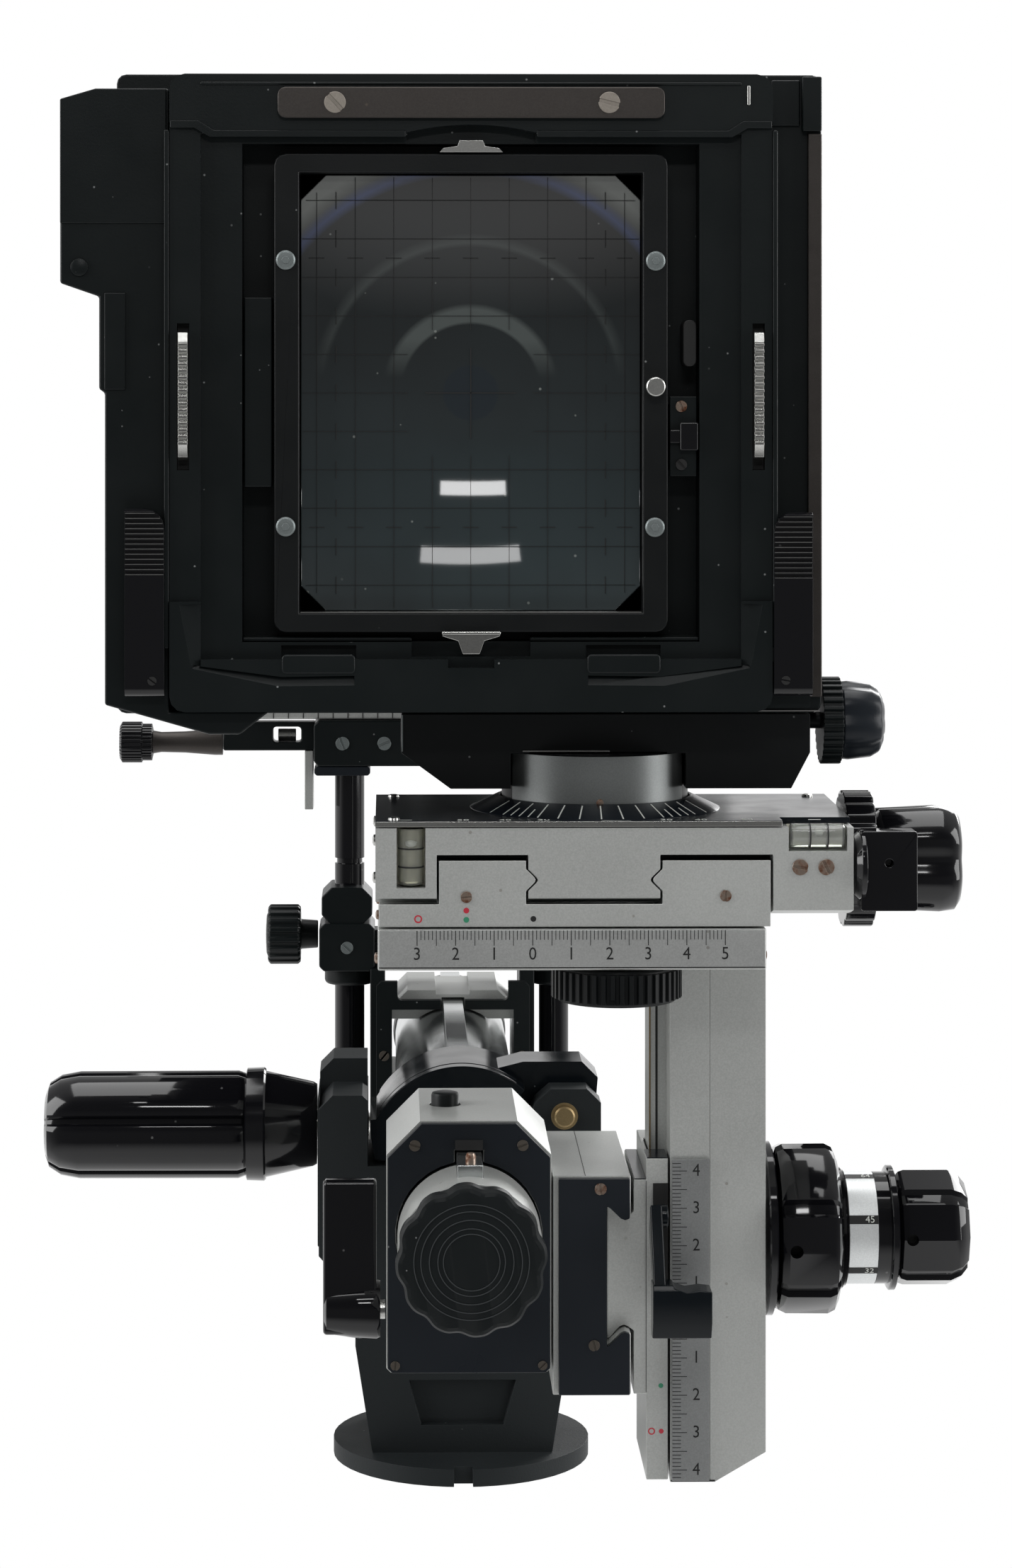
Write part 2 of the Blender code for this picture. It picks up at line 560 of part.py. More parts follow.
def rear_head():
    body("rear_swing", (*SWING_XY, 201), "rear_tilt")
    hub = turned("Z", SWING_XY, [(201.1, 24), (202, 25), (216, 25), (216.7, 24.2)], steps=40)
    piece("swing_turntable", "rear_swing", "black_paint", [hub])
    foot = [(-5, 207.5), (85, 207.5), (90, 217), (90, 227.2), (-18, 227.2), (-18, 217)]
    bearer = prism("Y", foot, REAR_FRAME_Y[0], -84)
    piece("frame_bearer", "rear_swing", "black_paint", [bearer], [drum("Z", SWING_XY, 25.4, 200, 217.1, 40)])

    frame = prism("Y", rear_frame_outline(), *REAR_FRAME_Y)
    piece("rear_frame", "rear_swing", "black_paint", [frame], [square_hole(72, (-120, -90))])

    rear, front = BACK_Y
    outline = round_rectangle((-BACK_HALF_X, BACK_HALF_X), BACK_Z, 4)
    lug = box((76, 88.3), (-132.8, front - 0.2), (230, 242))
    step_x, step_z = GLASS_FRAME_HALF[0] + 8.3, GLASS_FRAME_HALF[1] + 2.6
    cuts = [
        box((-70, 70), (rear - 1, rear + 3), (LENS_Z - 69, LENS_Z + 67)),
        box((-step_x, step_x), (rear - 1, -124), (LENS_Z - step_z, LENS_Z + step_z)),
        box((-46, 46), (rear - 1, front + 1), (LENS_Z - 58, LENS_Z + 58)),
        box((72.9, 76.1), (rear - 1, rear + 4), (292, 330)),
        box((-76.1, -72.9), (rear - 1, rear + 4), (292, 330)),
    ]
    piece("back_frame", "rear_swing", "black_paint", [prism("Y", outline, rear, front), lug], cuts)
    outline = [
        (-106.6, 388.3),
        (-97.4, 391),
        (-78.4, 391),
        (-78.4, 229.2),
        (-52.3, 229.2),
        (-60, 223.3),
        (-68, 223.3),
        (-95, 231),
        (-95, 312),
        (-96.5, 313),
        (-96.5, 337),
        (-106.6, 340.5),
    ]
    piece("coupling_cover", "rear_swing", "black_paint", [prism("Y", outline, -133, front - GAP)])
    strip = prism("Y", round_rectangle((-50, 50), (383, 391), 2), rear - 1.8, rear - GAP)
    piece("guide_strip", "rear_swing", "bronze_trim", [strip])

    body("frame_lock_knob", (91, -107, 224.6), "rear_swing")
    centre = (-107, 224.6)
    ring = prism("X", ribbed(centre, 11, 0.7, 28), 93.4, 99)
    profile = [(90.4, 2.5), (93.4, 2.5), (93.5, 9.6), (105.5, 9.6), (107.6, 7.6), (108.2, 4)]
    knob = turned("X", centre, profile)
    piece("frame_lock_knob", "frame_lock_knob", "gloss_black", [ring, knob])

    for side, x in (("left", (-89.5, -79.3)), ("right", (78.4, 88.4))):
        body("back_lever_" + side, (x[0], *LEVER_PIVOT_YZ), "rear_swing")
        eye = drum("X", LEVER_PIVOT_YZ, 2.6, x[0] + 0.2, x[1] - 0.2, 16)
        top = 282 if side == "left" else 281
        plate = box(x, (-138.6, -133.4), (LEVER_PIVOT_YZ[1], top))
        piece("back_lever_" + side, "back_lever_" + side, "gloss_black", [plate, eye])
    for side, x in (("left", -74.5), ("right", 74.5)):
        body("thumb_slide_" + side, (x, rear, LENS_Z), "rear_swing")
        bar = box((x - 1.3, x + 1.3), (rear - 1.4, rear + 3.6), (294.6, 328.3))
        piece("thumb_slide_" + side, "thumb_slide_" + side, "steel", [bar])

    body("glass_back", (0, -136.5, LENS_Z), "rear_swing")
    half_x, half_z = GLASS_FRAME_HALF
    outer = round_rectangle((-half_x, half_x), (LENS_Z - half_z, LENS_Z + half_z), 3)
    half_x, half_z = GLASS_HALF
    hole = box((-half_x, half_x), (-140, -120), (LENS_Z - half_z, LENS_Z + half_z))
    piece("glass_frame", "glass_back", "black_paint", [prism("Y", outer, -136.5, -124.3)], [hole])
    edges = (LENS_Z - half_z + GAP, LENS_Z + half_z - GAP)
    glass = octagon((-half_x + GAP, half_x - GAP), 6.5, 6.5, edges)
    piece("ground_glass", "glass_back", "ground_glass", [prism("Y", glass, -131.5, -128.5)])

    outline = rectangle((-BELLOWS_HALF, BELLOWS_HALF), (LENS_Z - BELLOWS_HALF, LENS_Z + BELLOWS_HALF))
    skin = prism("Y", outline, REAR_FRAME_Y[1] + GAP, FRONT_FRAME_Y[0] - GAP)
    hollow = square_hole(BELLOWS_HALF - BELLOWS_WALL, (-100, 160))
    piece("bellows", "rear_swing", "leatherette", [skin], [hollow])


def front_base():
    low, high = FRONT_BLOCK_Y
    half = BLOCK_HALF_X
    body("front_carriage", (0, low, RAIL_Z), "rail")
    solids = [
        prism("Y", octagon((-half, half), 4, 7, (50, 113)), low, high),
        drum("X", (FRONT_Y, FRONT_TILT_Z), 5, -28.5, 28.5, 20),
        box((-26.2, 26.2), GUARD_Y, (62, 117)),
        box((-20, 20), (GUARD_Y[0], low + 1), (52, 62.5)),
    ]
    guard_cut = (GUARD_Y[0] - 1, GUARD_Y[1] + RUNNING)
    cuts = [
        prism("Y", rail_outline(RUNNING), low - 1, high + 1),
        box((-21, 21), guard_cut, (63, 107.6)),
        prism("Y", round_rectangle((-19, 19), (110.4, 125), 2), *guard_cut),
        box((-3.8, 3.8), guard_cut, (100, 112)),
    ]
    piece("front_block", "front_carriage", "satin_alloy", solids, cuts)
    body("front_block_knob", (0, FRONT_Y, 49.7), "front_carriage")
    knob = turned("Z", (0, FRONT_Y), [(49.7, 6), (46, 6), (45.5, 12), (36, 12), (34, 10)])
    piece("front_block_knob", "front_block_knob", "gloss_black", [knob])

    body("front_tilt", (0, FRONT_Y, FRONT_TILT_Z), "front_carriage")
    cheek_y = (152.0, 178.0)
    solids = [
        prism("Y", octagon((-45, 45), 3, 6, (118, 146)), FRONT_Y - 12, FRONT_Y + 12),
        box((22.4, 27.6), cheek_y, (51, 119)),
        box((-27.6, -22.4), cheek_y, (51, 119)),
    ]
    cuts = [drum("X", (FRONT_Y, FRONT_TILT_Z), 5 + GAP, -30, 30, 20)]
    cuts += [drum("Z", (x, FRONT_Y), ROD_R + RUNNING, 110, 150, 24) for x in (-ROD_X, ROD_X)]
    piece("front_yoke", "front_tilt", "black_paint", solids, cuts)

    body("front_rise", (0, FRONT_Y, 140), "front_tilt")
    for side, x in (("left", -ROD_X), ("right", ROD_X)):
        piece("rod_" + side, "front_rise", "gloss_black", [drum("Z", (x, FRONT_Y), ROD_R, 60, 183, 24)])
    bar = prism("Y", octagon((-47, 47), 2, 3, (183.3, 201.5)), FRONT_Y - 10, FRONT_Y + 10)
    ear = box((-77, -46), (FRONT_Y - 4, FRONT_Y + 4), (188, 201))
    piece("front_crossbar", "front_rise", "black_paint", [bar, ear])
    body("front_rise_knob", (-45, FRONT_Y, 129), "front_tilt")
    centre = (FRONT_Y, 129)
    rim = prism("X", ribbed(centre, 10, 0.7, 24), -61.5, -51.5)
    core = turned("X", centre, [(-62.5, 8), (-51, 8), (-50.9, 5), (-45.3, 5)])
    piece("front_rise_knob", "front_rise_knob", "black_paint", [rim, core])
    body("front_shift_knob", (-77, FRONT_Y, 194), "front_rise")
    centre = (FRONT_Y, 194)
    knob = turned("X", centre, [(-112, 5.5), (-111, 7.5), (-101, 7.5), (-99, 5.5), (-98.9, 3), (-77.3, 3)])
    piece("front_shift_knob", "front_shift_knob", "gloss_black", [knob])


def front_head():
    body("front_shift", (0, FRONT_Y, 201), "front_rise")
    bar = box((-70, 70), (FRONT_Y - 8, FRONT_Y + 8), (201.9, 208))
    piece("front_shift_bar", "front_shift", "satin_alloy", [bar])
    body("front_swing", (0, FRONT_Y, 208), "front_shift")
    solids = [
        prism("Y", octagon((-45, 45), 6, 1, (213, 227.2)), FRONT_FRAME_Y[0], FRONT_FRAME_Y[1] + 8),
        drum("Z", (0, FRONT_Y), 20, 208.4, 214, 32),
    ]
    piece("front_swing_bearer", "front_swing", "black_paint", solids)
    frame = prism("Y", rear_frame_outline(), *FRONT_FRAME_Y)
    piece("front_frame", "front_swing", "black_paint", [frame], [square_hole(66, (150, 175))])

    board_y = (FRONT_FRAME_Y[1] + GAP, FRONT_FRAME_Y[1] + 3.8)
    outline = round_rectangle((-BOARD_HALF, BOARD_HALF), (LENS_Z - BOARD_HALF, LENS_Z + BOARD_HALF), 3)
    hole = drum("Y", (0, LENS_Z), 21, 168, 176, 28)
    piece("lens_board", "front_swing", "black_paint", [prism("Y", outline, *board_y)], [hole])
    axis = (0, LENS_Z)
    profile = [(160, 20.5), (174.0, 20.5), (174.1, 33), (194, 33), (194.1, 26), (219, 26), (220, 25)]
    shutter = turned("Y", axis, profile)
    bore = turned("Y", axis, [(159, 15), (206, 15), (206.1, 22.5), (221, 22.5)], steps=28)
    piece("shutter_body", "front_swing", "black_paint", [shutter], [bore])
    glass = turned("Y", axis, [(206.5, 22.1), (212, 22.1), (215, 14), (216, 5)], steps=28)
    piece("lens_glass", "front_swing", "lens", [glass])
    body("aperture_ring", (0, 194.4, LENS_Z), "front_swing")
    ring = prism("Y", ribbed(axis, 31, 0.8, 40), 194.5, 202)
    piece("aperture_ring", "aperture_ring", "satin_alloy", [ring], [drum("Y", axis, 26.4, 190, 205, 32)])


clear_scene()
rail_clamp()
monorail()
rear_base()
rear_column()
rear_movements()
rear_head()
front_base()
front_head()
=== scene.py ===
"""The looks of the view camera: every visible surface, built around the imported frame.

Lengths below are millimetres in the frame's own axes unless a name says otherwise; MM makes them metres.
A piece called NODE_shape stands for that node of the frame.
"""

import json
import math
import random

import bmesh
import bpy
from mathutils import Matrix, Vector

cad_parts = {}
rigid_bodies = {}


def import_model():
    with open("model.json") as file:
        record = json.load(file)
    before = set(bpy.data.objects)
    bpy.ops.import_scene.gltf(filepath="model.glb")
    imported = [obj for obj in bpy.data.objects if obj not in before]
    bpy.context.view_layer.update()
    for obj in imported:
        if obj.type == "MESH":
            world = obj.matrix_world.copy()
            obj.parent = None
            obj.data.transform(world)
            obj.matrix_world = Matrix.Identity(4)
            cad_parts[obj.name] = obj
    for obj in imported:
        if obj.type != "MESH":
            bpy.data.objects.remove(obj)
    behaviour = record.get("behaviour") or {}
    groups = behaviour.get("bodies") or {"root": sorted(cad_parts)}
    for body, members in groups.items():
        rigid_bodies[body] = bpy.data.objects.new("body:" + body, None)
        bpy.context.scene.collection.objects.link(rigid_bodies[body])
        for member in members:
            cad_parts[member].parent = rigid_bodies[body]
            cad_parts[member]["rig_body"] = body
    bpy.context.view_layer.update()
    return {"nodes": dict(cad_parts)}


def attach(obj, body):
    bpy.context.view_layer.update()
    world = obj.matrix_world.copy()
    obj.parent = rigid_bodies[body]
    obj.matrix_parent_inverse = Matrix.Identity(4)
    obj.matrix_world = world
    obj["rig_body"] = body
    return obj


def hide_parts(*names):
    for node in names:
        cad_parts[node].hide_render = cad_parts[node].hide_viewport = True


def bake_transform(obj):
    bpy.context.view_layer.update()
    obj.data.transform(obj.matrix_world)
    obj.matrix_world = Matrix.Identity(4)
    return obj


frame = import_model()
nodes = frame["nodes"]

MM = 0.001
LENS_Z = 312.0
RAIL_Z = 88.0
SHARP_DEGREES = 32
random.seed(5)


# Materials: each is a Principled shader with its own procedural detail


class Graph:
    """The node tree of a material or world, with short calls for the nodes that most of them share."""

    def __init__(self, owner, coordinates="Object"):
        owner.use_nodes = True
        self.material = owner
        self.tree = owner.node_tree
        self.shader = self.tree.nodes.get("Principled BSDF")
        self.place = self.tree.nodes.new("ShaderNodeTexCoord").outputs[coordinates]

    def node(self, kind, **settings):
        made = self.tree.nodes.new(kind)
        for key, value in settings.items():
            if hasattr(made, key):
                setattr(made, key, value)
            else:
                made.inputs[key.replace("_", " ")].default_value = value
        return made

    def link(self, out, socket):
        self.tree.links.new(out, socket)

    def set(self, socket, value):
        """Links a socket to the output of another node, or gives it a number or colour."""
        if isinstance(value, bpy.types.NodeSocket):
            self.link(value, socket)
        else:
            socket.default_value = (*value, 1) if isinstance(value, tuple) else value

    def put(self, **inputs):
        for key, value in inputs.items():
            self.set(self.shader.inputs[key.replace("_", " ")], value)

    def axes(self):
        split = self.node("ShaderNodeSeparateXYZ")
        self.link(self.place, split.inputs["Vector"])
        return split.outputs

    def noise(self, scale, detail=3.0, stretch=None):
        made = self.node("ShaderNodeTexNoise", Scale=scale, Detail=detail, Roughness=0.5)
        place = self.place
        if stretch:
            mapping = self.node("ShaderNodeMapping")
            mapping.inputs["Scale"].default_value = stretch
            self.link(place, mapping.inputs["Vector"])
            place = mapping.outputs["Vector"]
        self.link(place, made.inputs["Vector"])
        return made.outputs["Fac"]

    def between(self, value, low, high, to_low=0.0, to_high=1.0, **settings):
        made = self.node(
            "ShaderNodeMapRange", From_Min=low, From_Max=high, To_Min=to_low, To_Max=to_high, **settings
        )
        self.link(value, made.inputs["Value"])
        return made.outputs["Result"]

    def clouds(self, scale, detail, to_low=0.0, to_high=1.0, low=0.3, high=0.7, stretch=None):
        """Soft noise, spread from to_low to to_high."""
        return self.between(self.noise(scale, detail, stretch), low, high, to_low, to_high)

    def mix(self, factor, first, second):
        made = self.node("ShaderNodeMix", data_type="RGBA")
        for name, value in (("Factor", factor), ("A", first), ("B", second)):
            self.set(made.inputs[name], value)
        return made.outputs["Result"]

    def maths(self, operation, first, second):
        made = self.node("ShaderNodeMath", operation=operation)
        for socket, value in zip(made.inputs, (first, second)):
            self.set(socket, value)
        return made.outputs["Value"]

    def times(self, first, second):
        return self.maths("MULTIPLY", first, second)

    def over(self, base, colour, cover, strength):
        """A colour laid over the base as strongly as the cover says."""
        return self.mix(self.times(cover, strength), base, colour)

    def bump(self, height, strength, distance):
        made = self.node("ShaderNodeBump", Strength=strength, Distance=distance)
        self.link(height, made.inputs["Height"])
        self.link(made.outputs["Normal"], self.shader.inputs["Normal"])


def new_graph(name):
    return Graph(bpy.data.materials.new(name))


def shaded(colour, share):
    """A colour made darker or lighter."""
    return tuple(min(1.0, c * share) for c in colour)


def dust(graph, scale=420.0, cover=0.05):
    """Sparse pale specks of dust."""
    cells = graph.node("ShaderNodeTexVoronoi", Scale=scale)
    graph.link(graph.place, cells.inputs["Vector"])
    near = graph.between(cells.outputs["Distance"], 0.09, 0.14, 1.0, 0.0)
    split = graph.node("ShaderNodeSeparateColor")
    graph.link(cells.outputs["Color"], split.inputs["Color"])
    chosen = graph.between(split.outputs["Red"], 1 - cover - 0.01, 1 - cover)
    return graph.times(near, chosen)


def painted(name, colour, roughness, grain=0.1, specks=0.05):
    """Satin black paint on metal, with fine orange peel and dust."""
    graph = new_graph(name)
    base = graph.mix(graph.clouds(9, 3), colour, shaded(colour, 1.2))
    base = graph.over(base, (0.3, 0.31, 0.31), dust(graph, cover=specks), 0.45)
    rough = graph.clouds(60, 4, roughness - 0.04, roughness + 0.05)
    graph.put(Base_Color=base, Roughness=rough, Specular_IOR_Level=0.24)
    graph.bump(graph.noise(1500, 2), grain, 0.0002)
    return graph.material


def glossy(name, colour=(0.004, 0.004, 0.005)):
    """Polished black plastic with faint handling marks."""
    graph = new_graph(name)
    graph.put(
        Base_Color=graph.over(colour, (0.2, 0.2, 0.2), dust(graph, 300, 0.035), 0.4),
        Roughness=graph.clouds(35, 5, 0.05, 0.16, 0.4, 0.75),
        Specular_IOR_Level=0.4,
        Coat_Weight=0.15,
        Coat_Roughness=0.04,
    )
    graph.bump(graph.noise(40, 2), 0.03, 0.001)
    return graph.material


def alloy(name, colour=(0.47, 0.48, 0.465), roughness=0.38, metallic=0.45, sparkle=0.22, stretch=None):
    """Satin silver alloy: fine sparkling grain, faint clouding and dark specks."""
    graph = new_graph(name)
    base = graph.mix(graph.clouds(14, 5, high=0.75), shaded(colour, 0.86), colour)
    base = graph.over(base, shaded(colour, 1.3), graph.clouds(2600, 1), 0.35)
    base = graph.over(base, (0.16, 0.13, 0.1), dust(graph, 260, 0.04), 0.45)
    rough = graph.clouds(30, 5, roughness - 0.05, roughness + 0.07, stretch=stretch)
    graph.put(Base_Color=base, Roughness=rough, Metallic=metallic)
    graph.bump(graph.noise(2200, 2, stretch), sparkle, 0.0001)
    return graph.material


def rusty(name):
    """A small steel screw with brown rust."""
    graph = new_graph(name)
    spots = graph.clouds(500, 6, low=0.42, high=0.62)
    base = graph.mix(spots, (0.34, 0.27, 0.22), (0.13, 0.055, 0.03))
    graph.put(Base_Color=base, Roughness=graph.between(spots, 0, 1, 0.3, 0.75), Metallic=0.8)
    graph.bump(graph.noise(1500, 4), 0.3, 0.0002)
    return graph.material


def plain(name, colour, roughness=0.45):
    """An even finish with only a fine surface grain and a slight change of shade."""
    graph = new_graph(name)
    base = graph.mix(graph.clouds(50, 4), shaded(colour, 0.85), colour)
    graph.put(Base_Color=base, Roughness=roughness)
    graph.bump(graph.noise(900, 2), 0.08, 0.0002)
    return graph.material


def leatherette(name):
    """Pebbled black bellows cloth."""
    graph = new_graph(name)
    cells = graph.node("ShaderNodeTexVoronoi", Scale=900.0, feature="SMOOTH_F1")
    graph.link(graph.place, cells.inputs["Vector"])
    base = graph.mix(graph.clouds(30, 4), (0.011, 0.011, 0.012), (0.024, 0.024, 0.026))
    graph.put(Base_Color=base, Roughness=graph.clouds(80, 3, 0.5, 0.7))
    graph.bump(cells.outputs["Distance"], 0.35, 0.0004)
    return graph.material


def clear(name, colour, transmission, roughness=0.03):
    """Glass or liquid, with faint smears in its gloss."""
    graph = new_graph(name)
    rough = graph.clouds(120, 4, roughness, roughness + 0.06, 0.4, 0.8)
    graph.put(Base_Color=colour, Roughness=rough, Transmission_Weight=transmission, IOR=1.48)
    return graph.material


def fresnel_glass(name):
    """The ground glass: a Fresnel lens lies on it, and its tilted coat shows lamps as short arcs. Its colour
    also holds painted light: it is lighter towards the bottom, and faint rings, a bright rim at the top
    corners and a blue fringe are painted reflections.
    """
    graph = new_graph(name)
    split = graph.axes()
    across = split["X"]
    up = graph.maths("SUBTRACT", split["Z"], LENS_Z * MM)
    square = graph.maths("ADD", graph.times(across, across), graph.times(up, up))
    radius = graph.maths("SQRT", square, 0.5)
    tilt = graph.node("ShaderNodeBump", Strength=1.0, Distance=1.0)
    graph.link(graph.times(square, 5.4), tilt.inputs["Height"])
    graph.link(tilt.outputs["Normal"], graph.shader.inputs["Coat Normal"])
    # Painted shade: the glass is lighter towards the bottom and darker towards the top.
    base = graph.mix(graph.between(up, -0.055, 0.05), (0.026, 0.037, 0.04), (0.003, 0.004, 0.0045))
    base = graph.mix(graph.clouds(18, 3, 0.0, 0.6, 0.35), base, (0.006, 0.006, 0.006))
    # Painted reflections: two faint pale rings, above the middle only.
    for inner, outer, soft, strength in ((0.0182, 0.0229, 0.0004, 0.55), (0.0385, 0.041, 0.0006, 0.22)):
        ring = graph.times(
            graph.between(radius, inner - soft, inner + soft),
            graph.between(radius, outer - 3 * soft, outer + soft, 1.0, 0.0),
        )
        ring = graph.times(ring, graph.between(up, 0.004, 0.014))
        base = graph.over(base, (0.1, 0.115, 0.11), ring, strength)
    # Painted reflection: a bright rim round the upper corners of the glass.
    rim = graph.times(graph.between(radius, 0.0585, 0.064), graph.between(up, 0.0, 0.02))
    base = graph.over(base, (0.15, 0.16, 0.15), rim, 0.7)
    # Painted reflection: a blue fringe just inside that bright rim, on the upper part.
    painted_fringe_reflection = graph.times(
        graph.between(radius, 0.0565, 0.0585),
        graph.between(radius, 0.0585, 0.061, 1.0, 0.0),
    )
    painted_fringe_reflection = graph.times(painted_fringe_reflection, graph.between(up, 0.02, 0.03))
    base = graph.over(base, (0.035, 0.05, 0.12), painted_fringe_reflection, 0.7)
    centre = graph.between(radius, 0.0070, 0.0073, 1.0, 0.0)
    base = graph.over(base, (0.008, 0.013, 0.018), centre, 0.75)
    base = graph.over(base, (0.3, 0.32, 0.3), dust(graph, 330, 0.05), 0.4)
    graph.put(
        Base_Color=base, Roughness=0.55, Specular_IOR_Level=0.15, Coat_Weight=1.0, Coat_Roughness=0.045
    )
    return graph.material


FINISH = {
    "black": painted("black_paint", (0.0035, 0.0052, 0.0055), 0.4),
    "dull": painted("dull_black", (0.011, 0.0135, 0.0145), 0.6, grain=0.3, specks=0.02),
    "blue_black": painted("blue_black", (0.009, 0.0112, 0.0145), 0.3, specks=0.03),
    "dark": painted("deep_black", (0.0035, 0.0042, 0.0045), 0.42, specks=0.015),
    "plate": painted("glossy_plate", (0.006, 0.008, 0.011), 0.2, grain=0.03),
    "cap": painted("rail_cap", (0.004, 0.0055, 0.006), 0.45, specks=0.03),
    "gloss_soft": painted("polished_jaw", (0.003, 0.0045, 0.006), 0.16, grain=0.04, specks=0.02),
    "gloss": glossy("polished_black"),
    "alloy": alloy("satin_alloy"),
    "strip": alloy("scale_strip", (0.56, 0.57, 0.56), 0.3, 0.7, 0.1),
    "strip_grey": alloy("rise_strip", (0.4, 0.41, 0.41), 0.32, 0.75, 0.1),
    "strip_light": alloy("dof_band", (0.72, 0.74, 0.74), 0.35, 0.5, 0.06),
    "label": alloy("blank_label", (0.17, 0.18, 0.178), 0.36, 0.5, 0.06),
    "bright": alloy("polished_rail", (0.5, 0.52, 0.52), 0.16, 0.95, 0.05),
    "steel": alloy("bright_steel", (0.55, 0.55, 0.53), 0.26, 1.0, 0.1),
    "bronze": alloy("brown_trim", (0.06, 0.054, 0.05), 0.42, 0.8, 0.25, (1, 1, 12)),
    "brass": alloy("dull_brass", (0.34, 0.25, 0.13), 0.38, 0.95, 0.2),
    "grey_screw": alloy("grey_screw", (0.2, 0.225, 0.225), 0.45, 0.7),
    "strip_screw": alloy("strip_screw", (0.3, 0.27, 0.235), 0.4, 0.6),
    "brown_screw": alloy("brown_screw", (0.11, 0.095, 0.08), 0.45, 0.75),
    "copper": rusty("rusty_screw"),
    "ink": plain("black_ink", (0.008, 0.008, 0.008), 0.6),
    "ring_line": plain("ring_line", (0.03, 0.034, 0.036), 0.4),
    "paint_white": plain("white_marking", (0.62, 0.64, 0.6), 0.5),
    "red": plain("red_mark", (0.45, 0.02, 0.04)),
    "green": plain("green_mark", (0.03, 0.22, 0.12)),
    "stain": plain("rust_stain", (0.42, 0.35, 0.22), 0.5),
    "well": plain("vial_well", (0.7, 0.68, 0.58), 0.5),
    "bubble": plain("vial_bubble", (0.62, 0.64, 0.58), 0.12),
    "cloth": leatherette("bellows_cloth"),
    "fresnel": fresnel_glass("fresnel_glass"),
    "liquid": clear("vial_liquid", (0.84, 0.82, 0.62), 0.7),
    "clear_liquid": clear("clear_liquid", (0.9, 0.92, 0.86), 0.85),
    "vial": clear("vial_glass", (0.93, 0.95, 0.92), 0.9),
    "lens": clear("lens_glass", (0.75, 0.78, 0.95), 0.85, 0.01),
}


# Outlines and solids. A solid is a bmesh in millimetres; make() turns it into a piece in metres


def polar(centre, reach, angle):
    return centre[0] + reach * math.cos(angle), centre[1] + reach * math.sin(angle)


def arc(centre, radius, start, end, steps):
    angles = [math.radians(start + (end - start) * i / steps) for i in range(steps + 1)]
    return [polar(centre, radius, angle) for angle in angles]


def circle(centre, radius, steps=48):
    return arc(centre, radius, 0, 360, steps)[:-1]


def lobed(centre, radius, depth, lobes, steps=96, turn=0.0, sharp=1.0):
    """A circle cut in between its lobes; sharp above 1 makes the cuts narrower."""
    points = []
    for step in range(steps):
        angle = 2 * math.pi * step / steps
        reach = radius - depth * (0.5 - 0.5 * math.cos(lobes * angle)) ** sharp
        points.append(polar(centre, reach, angle + turn))
    return points


def toothed(centre, radius, depth, teeth):
    """A circle with square ribs."""
    points = []
    for tooth in range(teeth):
        start, quarter = 360 * tooth / teeth, 90 / teeth
        points += arc(centre, radius, start, start + 1.6 * quarter, 1)
        points += arc(centre, radius - depth, start + 2.1 * quarter, start + 3.5 * quarter, 1)
    return points


def faceted(centre, radius, turn, lobes, cuts):
    """Lobes with flat facets; cuts lists each corner's angle within a lobe and its depth below the radius."""
    points = []
    for lobe in range(lobes):
        for angle, cut in cuts:
            points.append(polar(centre, radius - cut, math.radians(turn + lobe * 360 / lobes + angle)))
    return points


def hexgrip(centre, radius, depth, turn, lobes=6):
    """A grip's outline of flat lobes, parted by narrow grooves."""
    cuts = ((0, depth), (3.5, depth), (6, 0.3), (30, -0.1), (54, 0.3), (56.5, depth))
    return faceted(centre, radius, turn, lobes, [(angle * 6 / lobes, cut) for angle, cut in cuts])


def rectangle(u, v):
    return [(u[0], v[0]), (u[1], v[0]), (u[1], v[1]), (u[0], v[1])]


def octagon(u, v, cut):
    """A rectangle with its corners cut off."""
    low, high = v
    return [
        (u[0] + cut, low), (u[1] - cut, low), (u[1], low + cut), (u[1], high - cut),
        (u[1] - cut, high), (u[0] + cut, high), (u[0], high - cut), (u[0], low + cut),
    ]


def rounded(u, v, radius, steps=5):
    """A rectangle with round corners."""
    points = arc((u[1] - radius, v[0] + radius), radius, -90, 0, steps)
    points += arc((u[1] - radius, v[1] - radius), radius, 0, 90, steps)
    points += arc((u[0] + radius, v[1] - radius), radius, 90, 180, steps)
    return points + arc((u[0] + radius, v[0] + radius), radius, 180, 270, steps)


def sided(side, near, far):
    """The two ends of a stretch on one side of the middle, lower one first."""
    return sorted((side * near, side * far))


PLACES = {
    "X": lambda u, v, w: (w, u, v),
    "Y": lambda u, v, w: (u, w, v),
    "Z": lambda u, v, w: (u, v, w),
}


def skin(rings, closed_ends=True):
    """A surface over rings of points (x, y, z), each with as many points as the next."""
    solid = bmesh.new()
    rings = [[solid.verts.new(spot) for spot in ring] for ring in rings]
    for lower, upper in zip(rings, rings[1:]):
        for i in range(len(lower)):
            j = (i + 1) % len(lower)
            solid.faces.new([lower[i], lower[j], upper[j], upper[i]])
    if closed_ends:
        solid.faces.new(rings[0])
        solid.faces.new(rings[-1])
    bmesh.ops.recalc_face_normals(solid, faces=solid.faces)
    return solid


def loft(axis, sections, closed_ends=True):
    """A skin over outlines along an axis, each (place along the axis, outline)."""
    place = PLACES[axis]
    return skin([[place(u, v, along) for u, v in outline] for along, outline in sections], closed_ends)


def prism(axis, outline, low, high):
    return loft(axis, [(low, outline), (high, outline)])


def box(x, y, z):
    return prism("Z", rectangle(x, y), *z)


def turned(axis, centre, profile, steps=64, outline_at=None):
    """Round or lobed sections along an axis; profile lists (place, radius)."""
    outline_at = outline_at or (lambda radius: circle(centre, radius, steps))
    return loft(axis, [(along, outline_at(radius)) for along, radius in profile])


def joined(*solids):
    """Several separate bodies as one mesh."""
    whole = bmesh.new()
    for solid in solids:
        scratch = bpy.data.meshes.new("scratch")
        solid.to_mesh(scratch)
        whole.from_mesh(scratch)
        solid.free()
        bpy.data.meshes.remove(scratch)
    return whole


